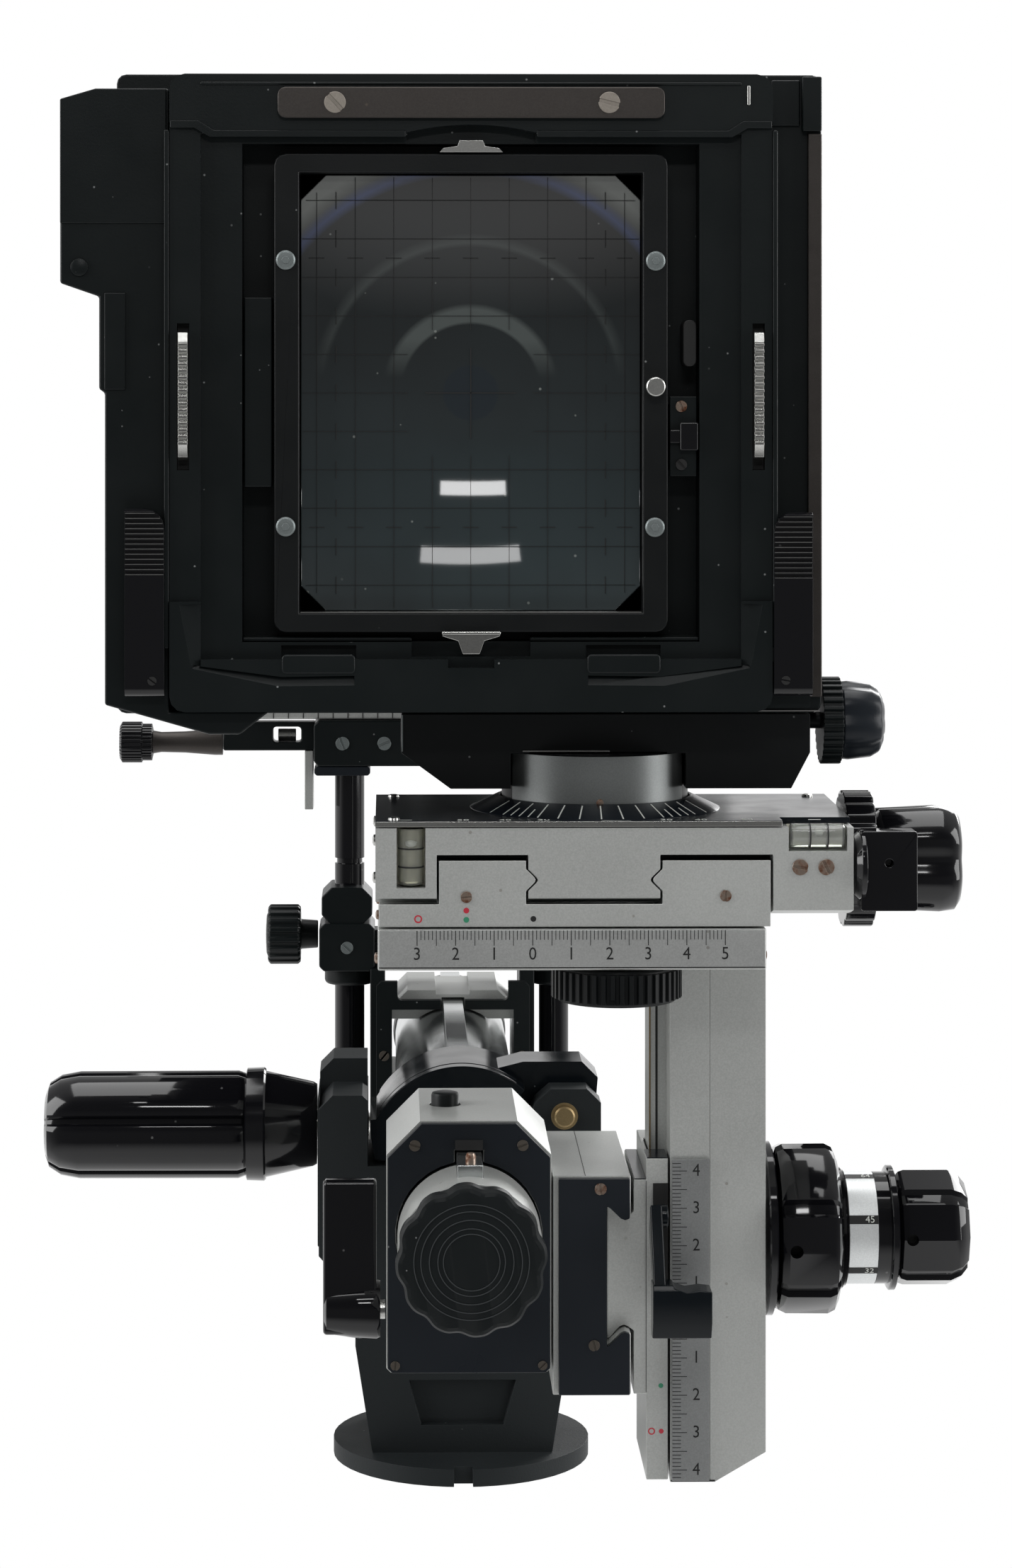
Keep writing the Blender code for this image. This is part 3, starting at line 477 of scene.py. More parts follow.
def flat_rings(centre, radii, y, steps):
    """Thin rings that face back: radii lists (outer, inner)."""
    blocks = []
    for rim in radii:
        outer, inner = (circle(centre, radius, steps) for radius in rim)
        for i in range(steps):
            j = (i + 1) % steps
            blocks.append(prism("Y", [outer[i], outer[j], inner[j], inner[i]], *y))
    return blocks


def placed(name, data):
    """A new object in the scene."""
    obj = bpy.data.objects.new(name, data)
    bpy.context.scene.collection.objects.link(obj)
    return obj


def mesh_of(name, solid):
    """The solid as a mesh in metres."""
    for vert in solid.verts:
        vert.co *= MM
    mesh = bpy.data.meshes.new(name)
    solid.to_mesh(mesh)
    solid.free()
    return mesh


def evaluated_mesh(obj):
    """The object's shape with its modifiers applied, as a new mesh."""
    bpy.context.view_layer.update()
    return bpy.data.meshes.new_from_object(obj.evaluated_get(bpy.context.evaluated_depsgraph_get()))


def soften(mesh, angle=SHARP_DEGREES):
    mesh.shade_smooth()
    mesh.set_sharp_from_angle(angle=math.radians(angle))


def bevelled(obj, width, segments=2):
    bevel = obj.modifiers.new("Bevel", "BEVEL")
    bevel.width = width * MM
    bevel.segments = segments
    bevel.limit_method = "ANGLE"
    bevel.angle_limit = math.radians(SHARP_DEGREES)
    bevel.harden_normals = True


stood_for = set()


def make(name, solid, body, finish, bevel=0.0, segments=2, stands_for=None, smooth=SHARP_DEGREES):
    """One piece that rides on a body, in a finish, with its edges bevelled by some millimetres."""
    mesh = mesh_of(name, solid)
    soften(mesh, smooth)
    obj = placed(name, mesh)
    mesh.materials.append(FINISH[finish])
    if bevel:
        bevelled(obj, bevel, segments)
    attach(obj, body)
    if name.endswith("_shape") and stands_for is None:
        stands_for = name.removesuffix("_shape")
    if stands_for:
        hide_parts(stands_for)
        stood_for.add(stands_for)
    return obj


def carve(obj, *solids):
    """Cuts shapes out of a piece, before its bevel, and keeps the result as its mesh."""
    bevels = [(m.width, m.segments) for m in obj.modifiers if m.type == "BEVEL"]
    obj.modifiers.clear()
    cutters = []
    for solid in solids:
        cutter = placed("cutter", mesh_of("cutter", solid))
        boolean = obj.modifiers.new("Cut", "BOOLEAN")
        boolean.operation = "DIFFERENCE"
        boolean.object = cutter
        cutters.append(cutter)
    finishes = list(obj.data.materials)
    obj.data = evaluated_mesh(obj)
    obj.data.materials.clear()
    for finish in finishes:
        obj.data.materials.append(finish)
    obj.modifiers.clear()
    soften(obj.data)
    for cutter in cutters:
        bpy.data.objects.remove(cutter)
    for width, segments in bevels:
        bevelled(obj, width / MM, segments)


def refined(node, finish, bevel=0.5, segments=2):
    """The CAD node's own shape with clean faces and bevelled edges, standing for the node."""
    source = nodes[node]
    solid = bmesh.new()
    solid.from_mesh(source.data)
    bmesh.ops.remove_doubles(solid, verts=solid.verts, dist=2e-6)
    bmesh.ops.dissolve_limit(solid, angle_limit=math.radians(0.4), verts=solid.verts, edges=solid.edges)
    bmesh.ops.recalc_face_normals(solid, faces=solid.faces)
    clean = bmesh.new()
    found = {vert: clean.verts.new(vert.co / MM) for vert in solid.verts}
    for face in solid.faces:
        clean.faces.new([found[vert] for vert in face.verts])
    solid.free()
    return make(node + "_shape", clean, source["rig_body"], finish, bevel, segments)


# Small parts that repeat


def screws(name, body, finish, y, radius, *spots):
    """Screw heads that face back at (x, z), each two half discs apart by a slot, over a lower disc."""
    slot, thick = math.degrees(math.asin(0.16)), 0.45
    heads = []
    for spot in spots:
        turn = random.uniform(0, 180)
        heads.append(prism("Y", circle(spot, radius * 0.97, 28), y, y + thick))
        for side in (turn, turn + 180):
            half = arc(spot, radius, side + slot, side + 180 - slot, 16)
            heads.append(prism("Y", half, y - thick * 0.7, y))
    make(name, joined(*heads), body, finish, radius * 0.06, 1)


def discs(axis, spots, radius, low, high, steps):
    return joined(*(prism(axis, circle(spot, radius, steps), low, high) for spot in spots))


def dots(name, body, finish, y, radius, *spots):
    """Painted index dots on a face that looks back."""
    make(name, discs("Y", spots, radius, y - 0.05, y + 0.1, 24), body, finish)


def index_ring(name, body, y, radius, inner, spot):
    """A red painted index ring on a face that looks back."""
    make(name, joined(*flat_rings(spot, [(radius, inner)], (y - 0.05, y + 0.1), 24)), body, "red")


def end_screw(spot, x, radius=1.5, lift=-0.7):
    """A low screw head on a face that looks left or right."""
    top = x + lift + math.copysign(0.3, lift)
    return turned("X", spot, [(x, radius), (x + lift, radius - 0.1), (top, radius - 0.7)], 20)


def number(text, height, centre, y=None, z=None, stretch=1.0):
    """A thin flat number, centred: it stands and faces back at y, or lies and faces up at z."""
    curve = bpy.data.curves.new("number", "FONT")
    curve.body = text
    curve.size = 1.37 * height
    curve.align_x = "CENTER"
    curve.align_y = "CENTER"
    curve.extrude = 0.05
    curve.resolution_u = 3
    holder = placed("number", curve)
    shape = evaluated_mesh(holder)
    bpy.data.objects.remove(holder)
    solid = bmesh.new()
    solid.from_mesh(shape)
    for vert in solid.verts:
        u, v, w = vert.co.x * stretch, vert.co.y, vert.co.z
        if z is None:
            vert.co = (centre[0] + u, y - w, centre[1] + v)
        else:
            vert.co = (centre[0] + u, centre[1] + v, z + w)
    return solid


# The back: frame, spring back, levers, slides and ground glass


def back_frame():
    face = -138.0
    body = "rear_swing"
    back = refined("back_frame", "black", 0.35)
    # Each chamfer: (x, z, depth below the face) round its outline
    upright = [(69.9, 257.5, 1.6), (75.4, 257.2, 0.02), (72.4, 241.4, 0.02), (69.9, 241.4, 1.6)]
    across = [(71.8, 241.6, 1.2), (49, 238.6, 1.3), (30.2, 238.9, 1.3)]
    across += [(30.2, 236.4, 0.02), (50, 236.2, 0.02), (72.2, 240.8, 0.02)]
    cuts = []
    for side in (-1, 1):
        for outline in (upright, across):
            front = [(side * x, face - 0.5, z) for x, z, depth in outline]
            cuts.append(skin([front, [(side * x, face + depth, z) for x, z, depth in outline]]))
        cuts.append(box(sided(side, 29.8, 49.2), (face - 1, face + 5), (243.2, 246.6)))
        cuts.append(box(sided(side, 69.5, 79), (face - 1, face + 1.1), (258, 381.9)))
    cuts.append(box((-6, 6), (face - 1, face + 3), (240.8, 244)))
    arch = arc((0, LENS_Z), 69.4, 76, 104, 12) + [(-16.8, 372), (16.8, 372)]
    cuts.append(prism("Y", arch, face - 1, face + 4))
    cuts.append(box((-15.4, 15.4), (face - 1, face + 6), (243.6, 250)))
    carve(back, *cuts)
    # Stepped rails inside the opening, and the tabs on the lower rim
    lip = [(-66.5, 379.9), (-70.4, 382.4), (-77.8, 382.4), (-77.8, 380.5), (-71.6, 380.5), (-67.6, 378.2)]
    lip += [(-17, 378.2), (-17, 379.9)]
    for side in (-1, 1):
        edge = box(sided(side, 78.15, 79.4), (-137.4, -126), (246, 380))
        make(f"back_edge_{side}", edge, body, "black", 0.3)
        tab = prism("Y", rounded(sided(side, 30.0, 49.0), (239.4, 244.4), 1.2), face - 0.35, face + 1)
        make(f"rim_tab_{side}", tab, body, "black", 0.5, 3)
        sill = box(sided(side, 15.4, 59.2), (-134.2, -124.2), (247.5, 248.6))
        make(f"inner_sill_{side}", sill, body, "black", 0.35)
    for side in (-1, 1):
        outline = [(side * x, z) for x, z in lip]
        make(f"top_lip_{side}", prism("Y", outline, -138.3, -137.2), body, "black", 0.25)
    make("top_shoulder", box((-70, 70), (-138.5, -137.6), (391.6, 392.4)), body, "black", 0.3)
    make("shoulder_pin", box((71.4, 72.2), (-138.5, -137.6), (386.5, 391.5)), body, "steel", 0.2)
    # Latch beside the glass frame, and the plate opposite
    make("latch_plate", box((51.6, 58.6), (-134.4, -133.2), (290.4, 311.1)), body, "black", 0.25)
    catch = (
        box((54.2, 58.8), (-136.6, -134.3), (297.1, 304.3)),
        box((51.5, 54.3), (-135.9, -134.3), (299, 302.4)),
    )
    make("latch", joined(*catch), body, "gloss", 0.3)
    make("latch_foot", box((51.6, 58.6), (-134.0, -124.2), (292, 309)), body, "black")
    screws("latch_screw_rusty", body, "copper", -134.5, 1.5, (54.6, 308.5))
    screws("latch_screw", body, "ink", -134.5, 1.5, (54.6, 293.4))
    make("inner_plate", box((-58.8, -51.6), (-134.2, -124.3), (287.6, 336.8)), body, "black", 0.35)
    groove = prism("Y", rounded((55.1, 58.6), (318.9, 331), 1.6), -134.0, -124.3)
    make("inner_groove", groove, body, "ink", 0.3)


def spring_clips():
    """Steel clips above and below the glass frame; each outline is half of a symmetrical one."""
    for name, half, y, bevel in (
        ("clip_top", [(8.2, 374.3), (7.2, 375.4), (3.6, 375.9), (3.0, 377.4)], (-137.3, -136.9), 0.12),
        ("clip_bottom", [(7.6, 249.9), (7.4, 249.0), (3.4, 247.8), (2.2, 244.4)], (-137.8, -137.3), 0.2),
    ):
        outline = half + [(-x, z) for x, z in half[::-1]]
        make(name, prism("Y", outline, *y), "glass_back", "steel", bevel)
    make("clip_bottom_lip", box((-7.6, 7.6), (-138.6, -137.4), (249.5, 250.3)), "glass_back", "steel", 0.25)


def levers():
    """The two side levers, with a ribbed tip and a rounded inner corner."""
    ribs, pitch, corner = 12, 1.32, 5
    for side, x, top, out in (("left", (-89.5, -79.3), 282, 1), ("right", (78.4, 88.4), 281, -1)):
        body = "back_lever_" + side
        inward = x[1] if side == "left" else x[0]
        outline = [(-133.4, top), (-137.6, top), (-138.6, top - 0.6), (-138.6, 238.6)]
        outline += arc((-136, 236), 2.6, 170, 350, 10) + [(-133.4, 237)]
        lever = make(body + "_shape", prism("X", outline, *x), body, "gloss", 0.25)
        tip = [(inward + out, top + 1), (inward - out * corner, top + 1)]
        for a in (0, 0.4, 0.8, 1.2, 1.57):
            tip.append((inward - out * corner * (1 - math.sin(a)), top - corner * (1 - math.cos(a))))
        tip.append((inward + out, top - corner))
        cuts = [prism("Y", tip, -140, -130)]
        for i in range(ribs):
            z = top - 1.5 - pitch * i
            cuts.append(box((x[0] - 1, x[1] + 1), (-139, -137.85), (z - 0.62, z)))
        carve(lever, *cuts)
        rims = []
        for i in range(ribs + 1):
            z = top - 0.8 - pitch * i
            drop = max(0.0, corner - top + z)
            cut = corner - math.sqrt(corner ** 2 - drop ** 2)
            ends = (x[0] + 0.15, x[1] - cut - 0.15) if side == "left" else (x[0] + cut + 0.15, x[1] - 0.15)
            rims.append(box(ends, (-138.68, -138.4), (z - 0.34, z - 0.2)))
        make(body + "_rib_edges", joined(*rims), body, "steel")
        screws(body + "_screw", body, "ink", -138.45, 1.15, ((x[0] + x[1]) / 2 + out * 2.0, 237.6))


def thumb_slides():
    for side, x in (("left", -74.5), ("right", 74.5)):
        name = "thumb_slide_" + side
        points = [(-136, 294.6), (-138.6, 295.4), (-139.1, 298.2)]
        for rib in range(16):
            z = 298.6 + 1.7 * rib
            points += [(-139.4, z), (-139.4, z + 0.75), (-138.55, z + 0.95), (-138.55, z + 1.5)]
        points += [(-139.1, 325), (-138.6, 327.6), (-136, 328.3)]
        make(name + "_shape", prism("X", points, x - 1.25, x + 1.25), name, "steel", 0.12, 1)
        make(name + "_well", box((x - 1.55, x + 1.55), (-134.3, -134.0), (292.1, 329.9)), "rear_swing", "ink")


def glass_grid():
    """Centimetre lines that leave the middle free, with cross bars on two outer lines."""
    y, free, wide, tall, line = (-131.62, -131.48), 16.4, 43.8, 55.8, 0.06
    lines = []

    def upright(x, low, high, half=line):
        lines.append(box((x - half, x + half), y, (LENS_Z + low, LENS_Z + high)))

    def level(z, low, high, half=line):
        lines.append(box((low, high), y, (LENS_Z + z - half, LENS_Z + z + half)))

    for sign in (-1, 1):
        upright(sign * 10, free, tall)
        upright(sign * 10, -tall, -free)
        for i in (2, 3, 4):
            reach = 52 + (i < 4) * 4
            upright(sign * 10 * i, -reach, reach)
        for side in (-1, 1):
            level(sign * 10, *sided(side, free, wide))
        for i in (2, 3, 4, 5):
            level(sign * 10 * i, -wide + (i > 4), wide - (i > 4))
        level(0, *sided(sign, free, wide))
        upright(0, *sided(sign, free, tall))
        for i in range(-5, 6):
            upright(sign * 35, 10 * i - 2.2, 10 * i + 2.2, 0.1)
        for i in range(-4, 5):
            level(sign * 35, 10 * i - 2.0, 10 * i + 2.0, 0.1)
    level(0, -11.8, 11.8, 0.14)
    upright(0, -11.8, 11.8, 0.14)
    make("glass_grid", joined(*lines), "glass_back", "ink")


def ground_glass():
    body, face = "glass_back", -136.5
    refined("ground_glass", "fresnel", 0.3)
    glass_grid()
    make("glass_edge", box((-44.2, 44.2), (-136.3, -131.6), (255.02, 255.22)), body, "steel")
    washers = []
    for spot in ((-48.0, 346.4), (47.8, 346.2), (-48.0, 277.4), (47.6, 277.2)):
        rim = [(face, 2.55), (face - 0.5, 2.55), (face - 0.9, 2.1), (face - 0.95, 1.0)]
        washers.append(turned("Y", spot, rim, 32))
        washers.append(prism("Y", circle(spot, 1.1, 6), face - 1.15, face - 0.9))
    make("glass_clips", joined(*washers), body, "grey_screw", 0.12, 1)
    pin = [(face, 2.0), (face - 2.2, 2.0), (face - 2.4, 2.5), (face - 4.2, 2.5), (face - 4.5, 2.2)]
    make("latch_pin", turned("Y", (47.6, 313.6), pin, 32), body, "steel", 0.1, 1)


def rear_frame():
    body = "rear_swing"
    refined("rear_frame", "black", 0.5, 3)
    refined("glass_frame", "dark", 0.5)
    refined("guide_strip", "bronze", 0.35, 3)
    screws("guide_strip_screws", body, "strip_screw", -139.85, 2.8, (-35.2, 387), (35.6, 387))
    cover = refined("coupling_cover", "black", 0.6, 3)
    carve(cover, prism("Y", circle((-84.2, 377.4), 1.5, 20), -134, -131.4))
    plate = [(-106.6, 388.3), (-97.4, 391), (-79, 391), (-79, 356), (-106.6, 356)]
    make("cover_head", prism("Y", plate, -133.5, -132.6), body, "black", 0.35)
    make("cover_step", box((-95.1, -89.6), (-133.6, -132.6), (312.8, 338)), body, "black", 0.3)
    pin = turned("Y", (-101.6, 344.6), [(-132.8, 2.3), (-133.6, 2.3), (-133.9, 1.6)], 24)
    make("cover_pin", pin, body, "black", 0.1, 1)
    make("side_strip", box((89.2, 92.9), (-119.6, -117.9), (231.8, 380.4)), body, "bronze", 0.3)
    make("side_block", box((87.6, 92.8), (-120.6, -117.9), (381, 395.4)), body, "black", 0.4)
    make("side_channel", box((79.6, 87.2), (-118.9, -117.9), (382.5, 394.6)), body, "black", 0.4)
    make("frame_foot_line", box((-78, 92.4), (-118.4, -117.9), (227.9, 228.2)), body, "steel")


# The rear standard's movements: shift scale, tilt arc, levels, swing plate and hub


def shift_scale():
    body, zero, top = "rear_column", 16.0, 172.55
    strip = rounded((-23.8, 76.4), (163.0, 172.6), 0.3)
    make("shift_scale_shape", prism("Y", strip, -135.2, -134.1), body, "strip", 0.1, 1)
    ticks = []
    for i in range(-30, 51):
        long = 3.9 if i % 5 == 0 else 2.4
        wide = 0.09 if i % 10 else 0.11
        ticks.append(box((zero + i - wide, zero + i + wide), (-135.24, -135.1), (top - long, top)))
    for i in range(-3, 6):
        ticks.append(number(str(abs(i)), 3.4, (zero + 10 * i, 166.4), y=-135.2, stretch=0.92))
    make("shift_scale_marks", joined(*ticks), body, "ink")
    make("scale_seam", box((-23.8, 76.4), (-135.22, -134.1), (162.78, 162.98)), body, "ink")
    guide = refined("shift_guide", "alloy", 0.5)
    carve(guide, box((-21.5, 74), (-139, -134.6), (161, 175)))
    ends = joined(end_screw((-126, 164.2), -24.1), end_screw((-126, 164.8), 76.7, lift=0.7))
    make("guide_end_screws", ends, body, "copper")


def shift_carriage():
    body, face = "rear_shift", -134.0
    refined("shift_carriage", "alloy", 0.18)
    screws("carriage_screws", body, "copper", face - 0.1, 1.5, (-1.2, 181.1), (66.2, 181.3))
    dots("index_red", body, "red", face, 0.75, (-1.2, 177.6))
    dots("index_green", body, "green", face, 0.75, (-1.2, 175.2))
    index_ring("index_ring", body, face, 1.05, 0.68, (-13.7, 175.4))
    dots("index_black", body, "ink", face, 0.75, (16.2, 175.4))
    ends = [end_screw((y, 175.5), -23.8, 1.3) for y in (-126, -96)]
    make("carriage_end_screws", joined(*ends), body, "copper")


def tilt_carriage():
    body, face, lower, upper = "rear_tilt", -134.0, 190.3, 192.0
    carriage = refined("tilt_carriage", "alloy", 0.22)
    slopes = [box(x, (-135, -127), (lower, upper)) for x in ((-8.85, 14.85), (49.25, 78.5))]
    carve(carriage, *slopes)
    # The flat dovetail face between the two arcs, whose sides lie at these radii below the lens axis
    edge = [(0, 124.7), (0, 128.0), (2.2, 130.1), (2.5, 130.75), (2.2, 131.4), (0, 133.5), (0, 135.3)]
    reach = 33
    heights = [(dx, LENS_Z - math.sqrt(radius ** 2 - reach ** 2)) for dx, radius in edge]
    outline = [(14.9 + dx, z) for dx, z in heights] + [(49.2 - dx, z) for dx, z in heights[::-1]]
    make("bone_face", prism("Y", outline, face, -130.6), body, "alloy")
    # Painted shade: thin black sheets at the back and floor of the gaps by the arcs, where the gaps lie in
    # shade.
    gap_shade_backs = [box(x, (-127.3, -127.02), (lower, upper)) for x in ((-8.8, 14.8), (49.3, 78.4))]
    make("painted_gap_shade_backs", joined(*gap_shade_backs), body, "ink")
    gap_shade_floors = [box(x, (-133.8, -127.0), (190.32, 190.42)) for x in ((-8.6, 14.6), (49.5, 78.2))]
    make("painted_gap_shade_floors", joined(*gap_shade_floors), "rear_shift", "ink")
    screws("extension_screws", body, "copper", face - 0.1, 2.1, (85.6, 188.7), (92.4, 188.7))
    dots("rust_stain", body, "stain", face + 0.06, 3.0, (85.4, 188.9), (92.8, 188.6))
    ends = [end_screw(spot, -24.7, lift=-0.6) for spot in ((-124, 194.8), (-124, 185.0), (-80, 194.8))]
    make("tilt_end_screws", joined(*ends), body, "steel")


def level_vials():
    """Two vials, each a tube with liquid, two rings and a bubble in front of a pale well."""
    body, centre, spot = "rear_tilt", (-15.55, -130.0), (-130.6, 196.6)
    make("vial_side_well", box((-19.4, -11.7), (-126.4, -126.1), (183.2, 199)), body, "well")
    tube = turned("Z", centre, [(183.6, 2.2), (184.2, 3.2), (198.6, 3.3)], 40)
    make("vial_side_shape", tube, body, "vial", stands_for="level_vial_side")
    inner = turned("Z", centre, [(184.4, 2.2), (184.9, 2.7), (198.4, 2.7)], 32)
    make("vial_side_liquid", inner, body, "liquid")
    rings = [turned("Z", centre, [(z - 0.16, 3.38), (z + 0.16, 3.38)], 40) for z in (188.6, 193.4)]
    make("vial_side_rings", joined(*rings), body, "ink")
    bubble = turned("Z", (-15.55, -131.6), [(193.9, 1.0), (194.4, 1.5), (195.3, 1.6), (195.8, 1.0)], 24)
    make("vial_side_bubble", bubble, body, "bubble", smooth=60)
    tube = turned("X", spot, [(83.1, 2.6), (83.5, 3.1), (97.0, 3.1), (97.4, 2.6)], 40)
    make("vial_top_shape", tube, body, "vial", stands_for="level_vial_top")
    make("vial_top_liquid", turned("X", spot, [(83.9, 2.2), (96.8, 2.2)], 32), body, "clear_liquid")
    rings = [turned("X", spot, [(x - 0.15, 3.18), (x + 0.15, 3.18)], 40) for x in (88.4, 93.0)]
    make("vial_top_rings", joined(*rings), body, "ink")
    bubble = turned("X", (-131.9, 197.5), [(89.4, 0.5), (89.9, 1.0), (91.4, 1.0), (91.9, 0.5)], 20)
    make("vial_top_bubble", bubble, body, "bubble", smooth=60)
    make("vial_top_well", box((82.7, 97.8), (-127.3, -127.05), (193, 199.2)), body, "well")


def swing_plate():
    """The black plate with a white angle scale on its sloping rim."""
    body, top, slope, outer = "rear_tilt", 200.8, 0.4648, 33.0
    thick = (top - 0.05, top + 0.05)
    refined("swing_scale_plate", "plate", 0.2)
    marks = []
    for degrees in (*range(-60, 61, 10), -45, -35, 35, 45):
        angle = math.radians(degrees)
        rings = []
        for radius in (outer, 27.0 if degrees % 10 == 0 else 29.6):
            z = 200.9 + (33.5 - radius) * slope
            spots = []
            for u, lift in ((-0.17, -0.1), (0.17, -0.1), (0.17, 0.05), (-0.17, 0.05)):
                x = 34 + u * math.cos(angle) + radius * math.sin(angle)
                y = -100 + u * math.sin(angle) - radius * math.cos(angle)
                spots.append((x, y, z + lift))
            rings.append(spots)
        marks.append(skin(rings))
    for x, text in ((-2, "50"), (9, "40"), (19, "30"), (51, "30"), (60, "40"), (72, "50")):
        marks.append(number(text, 3.2, (x, -131.3), z=top, stretch=0.75))
    marks.append(prism("Z", [(33.9, -133.9), (41.6, -133.9), (34.2, -133.2)], *thick))
    for x in (-18.5, 88):
        marks.append(box((x, x + 3.2), (-131.5, -131), thick))
    make("swing_marks", joined(*marks), body, "paint_white")
    make("plate_edge", box((-24.9, 80.9), (-134.25, -133.9), (199.35, 200.7)), body, "steel", 0.1)
    head = [(top - 0.1, 1.6), (top + 0.5, 1.4), (top + 0.7, 0.8)]
    rivets = [turned("Z", spot, head, 20) for spot in ((-20, -130), (-20, -74), (94, -74))]
    make("plate_screws", joined(*rivets), body, "steel")


def hub():
    """The round swing turntable with a blank nameplate, and the frame's bearer over it."""
    body, turn = "rear_swing", 63
    refined("swing_turntable", "dark", 0.3)
    outline = arc((34, -100), 25.35, -90 - turn, -90 + turn, 40)
    outline += arc((34, -100), 24.9, -90 + turn, -90 - turn, 40)
    make("blank_nameplate", prism("Z", outline, 202.6, 216.6), body, "label", 0.1, 1)
    rivet = turned("Y", (34, 204.6), [(-125.2, 1.0), (-125.6, 0.9), (-125.75, 0.4)], 20)
    make("nameplate_rivet", rivet, body, "copper")
    bearer = refined("frame_bearer", "dark", 0.6, 3)
    carve(bearer, box((10.9, 57.1), (-120, -74), (200, 216.8)))
    make("bearer_line", box((14, 37), (-118.1, -117.6), (217.3, 217.6)), body, "steel")
    make("bearer_seam", box((-17.9, -17.6), (-118.0, -117.5), (217.4, 227.0)), body, "grey_screw")
    body, centre = "frame_lock_knob", (-107, 224.6)
    ring = joined(
        prism("X", toothed(centre, 11.6, 0.9, 30), 93.7, 99),
        turned("X", centre, [(90.3, 2.2), (93.8, 2.2)], 24),
    )
    make("frame_lock_ring", ring, body, "black", 0.2, stands_for=body)
    knob = [(99.1, 9.9), (101, 10.1), (107, 9.4), (109.4, 8.0), (110.5, 5.4)]
    lobes = turned("X", centre, knob, outline_at=lambda r: lobed(centre, r + 0.4, 1.0, 6, 96, 0.3, 2.0))
    make("frame_lock_grip", lobes, body, "blue_black", 0.5, 3)


def tilt_controls():
    body, centre = "tilt_lock_lever", (-101, 187)
    disc = prism("X", lobed(centre, 18.2, 0.8, 14, 240, sharp=5.0), 100.2, 108.0)
    flag = joined(disc, prism("X", rectangle((-129, -112), (179, 195)), 101.6, 107.2))
    make("tilt_disc", flag, body, "gloss", 0.35, stands_for=body)
    flag = prism("Y", rounded((101.8, 116.6), (176.8, 197.6), 0.8), -131.2, -123.0)
    flag = make("tilt_flag", flag, body, "gloss", 0.5, 3)
    carve(flag, prism("Y", circle((109.2, 189.3), 1.05, 20), -132, -128))
    collar = turned("X", (-127, 188.5), [(100.2, 7.6), (101.8, 9.2), (103.0, 9.2), (103.6, 7.8)], 48)
    make("tilt_flag_collar", collar, body, "gloss", 0.3)
    profile = [(108.3, 13.0), (110, 14.6), (125.5, 15.4), (129.6, 14.8), (131.1, 12.6), (131.7, 8.0)]
    knob = turned(
        "X", centre, profile, outline_at=lambda r: lobed(centre, r, min(2.6, r * 0.17), 4, 128, 0.72, 3.0)
    )
    make("tilt_knob_shape", knob, "tilt_knob", "gloss", smooth=50)


def shift_wheel():
    body, centre = "shift_wheel", (38.75, -118)
    wheel = prism("Z", toothed(centre, 17.25, 0.8, 44), 153.0, 160.6)
    wheel = make("shift_wheel_shape", wheel, body, "dark", 0.15, 1)
    carve(wheel, box((35.9, 37.3), (-137, -133.6), (151, 154.4)))
    core = turned("Z", centre, [(152.0, 15.4), (152.8, 16.2), (161.0, 16.2), (161.5, 15.8)], 72)
    make("shift_wheel_core", core, body, "dark", 0.1, 1)


# The column, its knobs and scale, the fine focus guide and the rear block


def column():
    body, face, zero = "rear_column", -105.2, 63.9
    post = refined("column", "alloy", 0.35)
    carve(post, box((64.52, 64.68), (-104.5, -103.75), (20, 162)))
    strip = prism("Y", rectangle((54.4, 64.4), (21, 107)), face, -104.1)
    make("rise_scale_shape", strip, body, "strip_grey", 0.08, 1)
    marks = []
    for i in range(-42, 43):
        long = 3.9 if i % 5 == 0 else 2.3
        marks.append(box((54.5, 54.5 + long), (face - 0.04, face + 0.1), (zero + i - 0.09, zero + i + 0.09)))
    for i in range(-4, 5):
        marks.append(number(str(abs(i)), 3.4, (60.9, zero + 10 * i + 0.1), y=face, stretch=0.9))
    make("rise_scale_marks", joined(*marks), body, "ink")
    make("column_foot", box((54.2, 66), (-104.15, -64.5), (20.45, 20.9)), body, "ink")
    make("tongue_line", box((50.9, 51.5), (-91.75, -91.5), (22.5, 159)), body, "ink")
    make("tongue_edge", box((49.15, 49.6), (-91.75, -91.5), (22.5, 159)), body, "brass")


def focus_slide():
    body, lever = "focus_carrier", "rise_lock_lever"
    refined("focus_slide", "alloy", 0.25)
    make("slide_seam", box((47.5, 47.62), (-104.12, -103.9), (44.5, 101)), body, "ink")
    # Painted shade: a black sheet over the lever's slot, where the slot lies in shade.
    make("painted_slot_shade", box((49.4, 53.35), (-104.14, -103.9), (73.4, 100.4)), body, "ink")
    tops = (
        box((47.8, 53.3), (-103.8, -92.3), (107, 107.25)),
        box((44.4, 47.5), (-103.8, -64.3), (101.4, 101.65)),
    )
    make("slide_tops", joined(*tops), body, "plate", 0.1, 1)
    dots("rise_dot_green", body, "green", -104.0, 0.65, (51.5, 46.2))
    dots("rise_dot_red", body, "red", -104.0, 0.65, (51.6, 34.0))
    index_ring("rise_ring", body, -104.0, 0.95, 0.62, (49.0, 34.0))
    outline = [(-120.5, 78.6), (-127.8, 78.6), (-129, 77.4), (-129, 68.9), (-126.6, 64.4)]
    outline += [(-121.5, 64.0), (-120.6, 66)]
    grip = make(
        "rise_lever_grip", prism("X", outline, 47.7, 63.2), lever, "gloss_soft", 0.7, 4, stands_for=lever
    )
    hollow = [(52.6, 80), (53.4, 77.9), (56.5, 76.9), (60, 77.4), (63.6, 77.0), (63.6, 80)]
    carve(grip, prism("Y", hollow, -131, -119))
    stem = [(-127.2, 78.2), (-122, 76.5), (-108.5, 89), (-112.5, 96.6)]
    stem = joined(prism("X", stem, 48.0, 51.2), prism("X", circle((-110.5, 93), 3.0, 32), 48.6, 52.9))
    make("rise_lever_stem", stem, lever, "gloss_soft", 0.5, 3)


KNOB_CENTRE = (-84, 84)


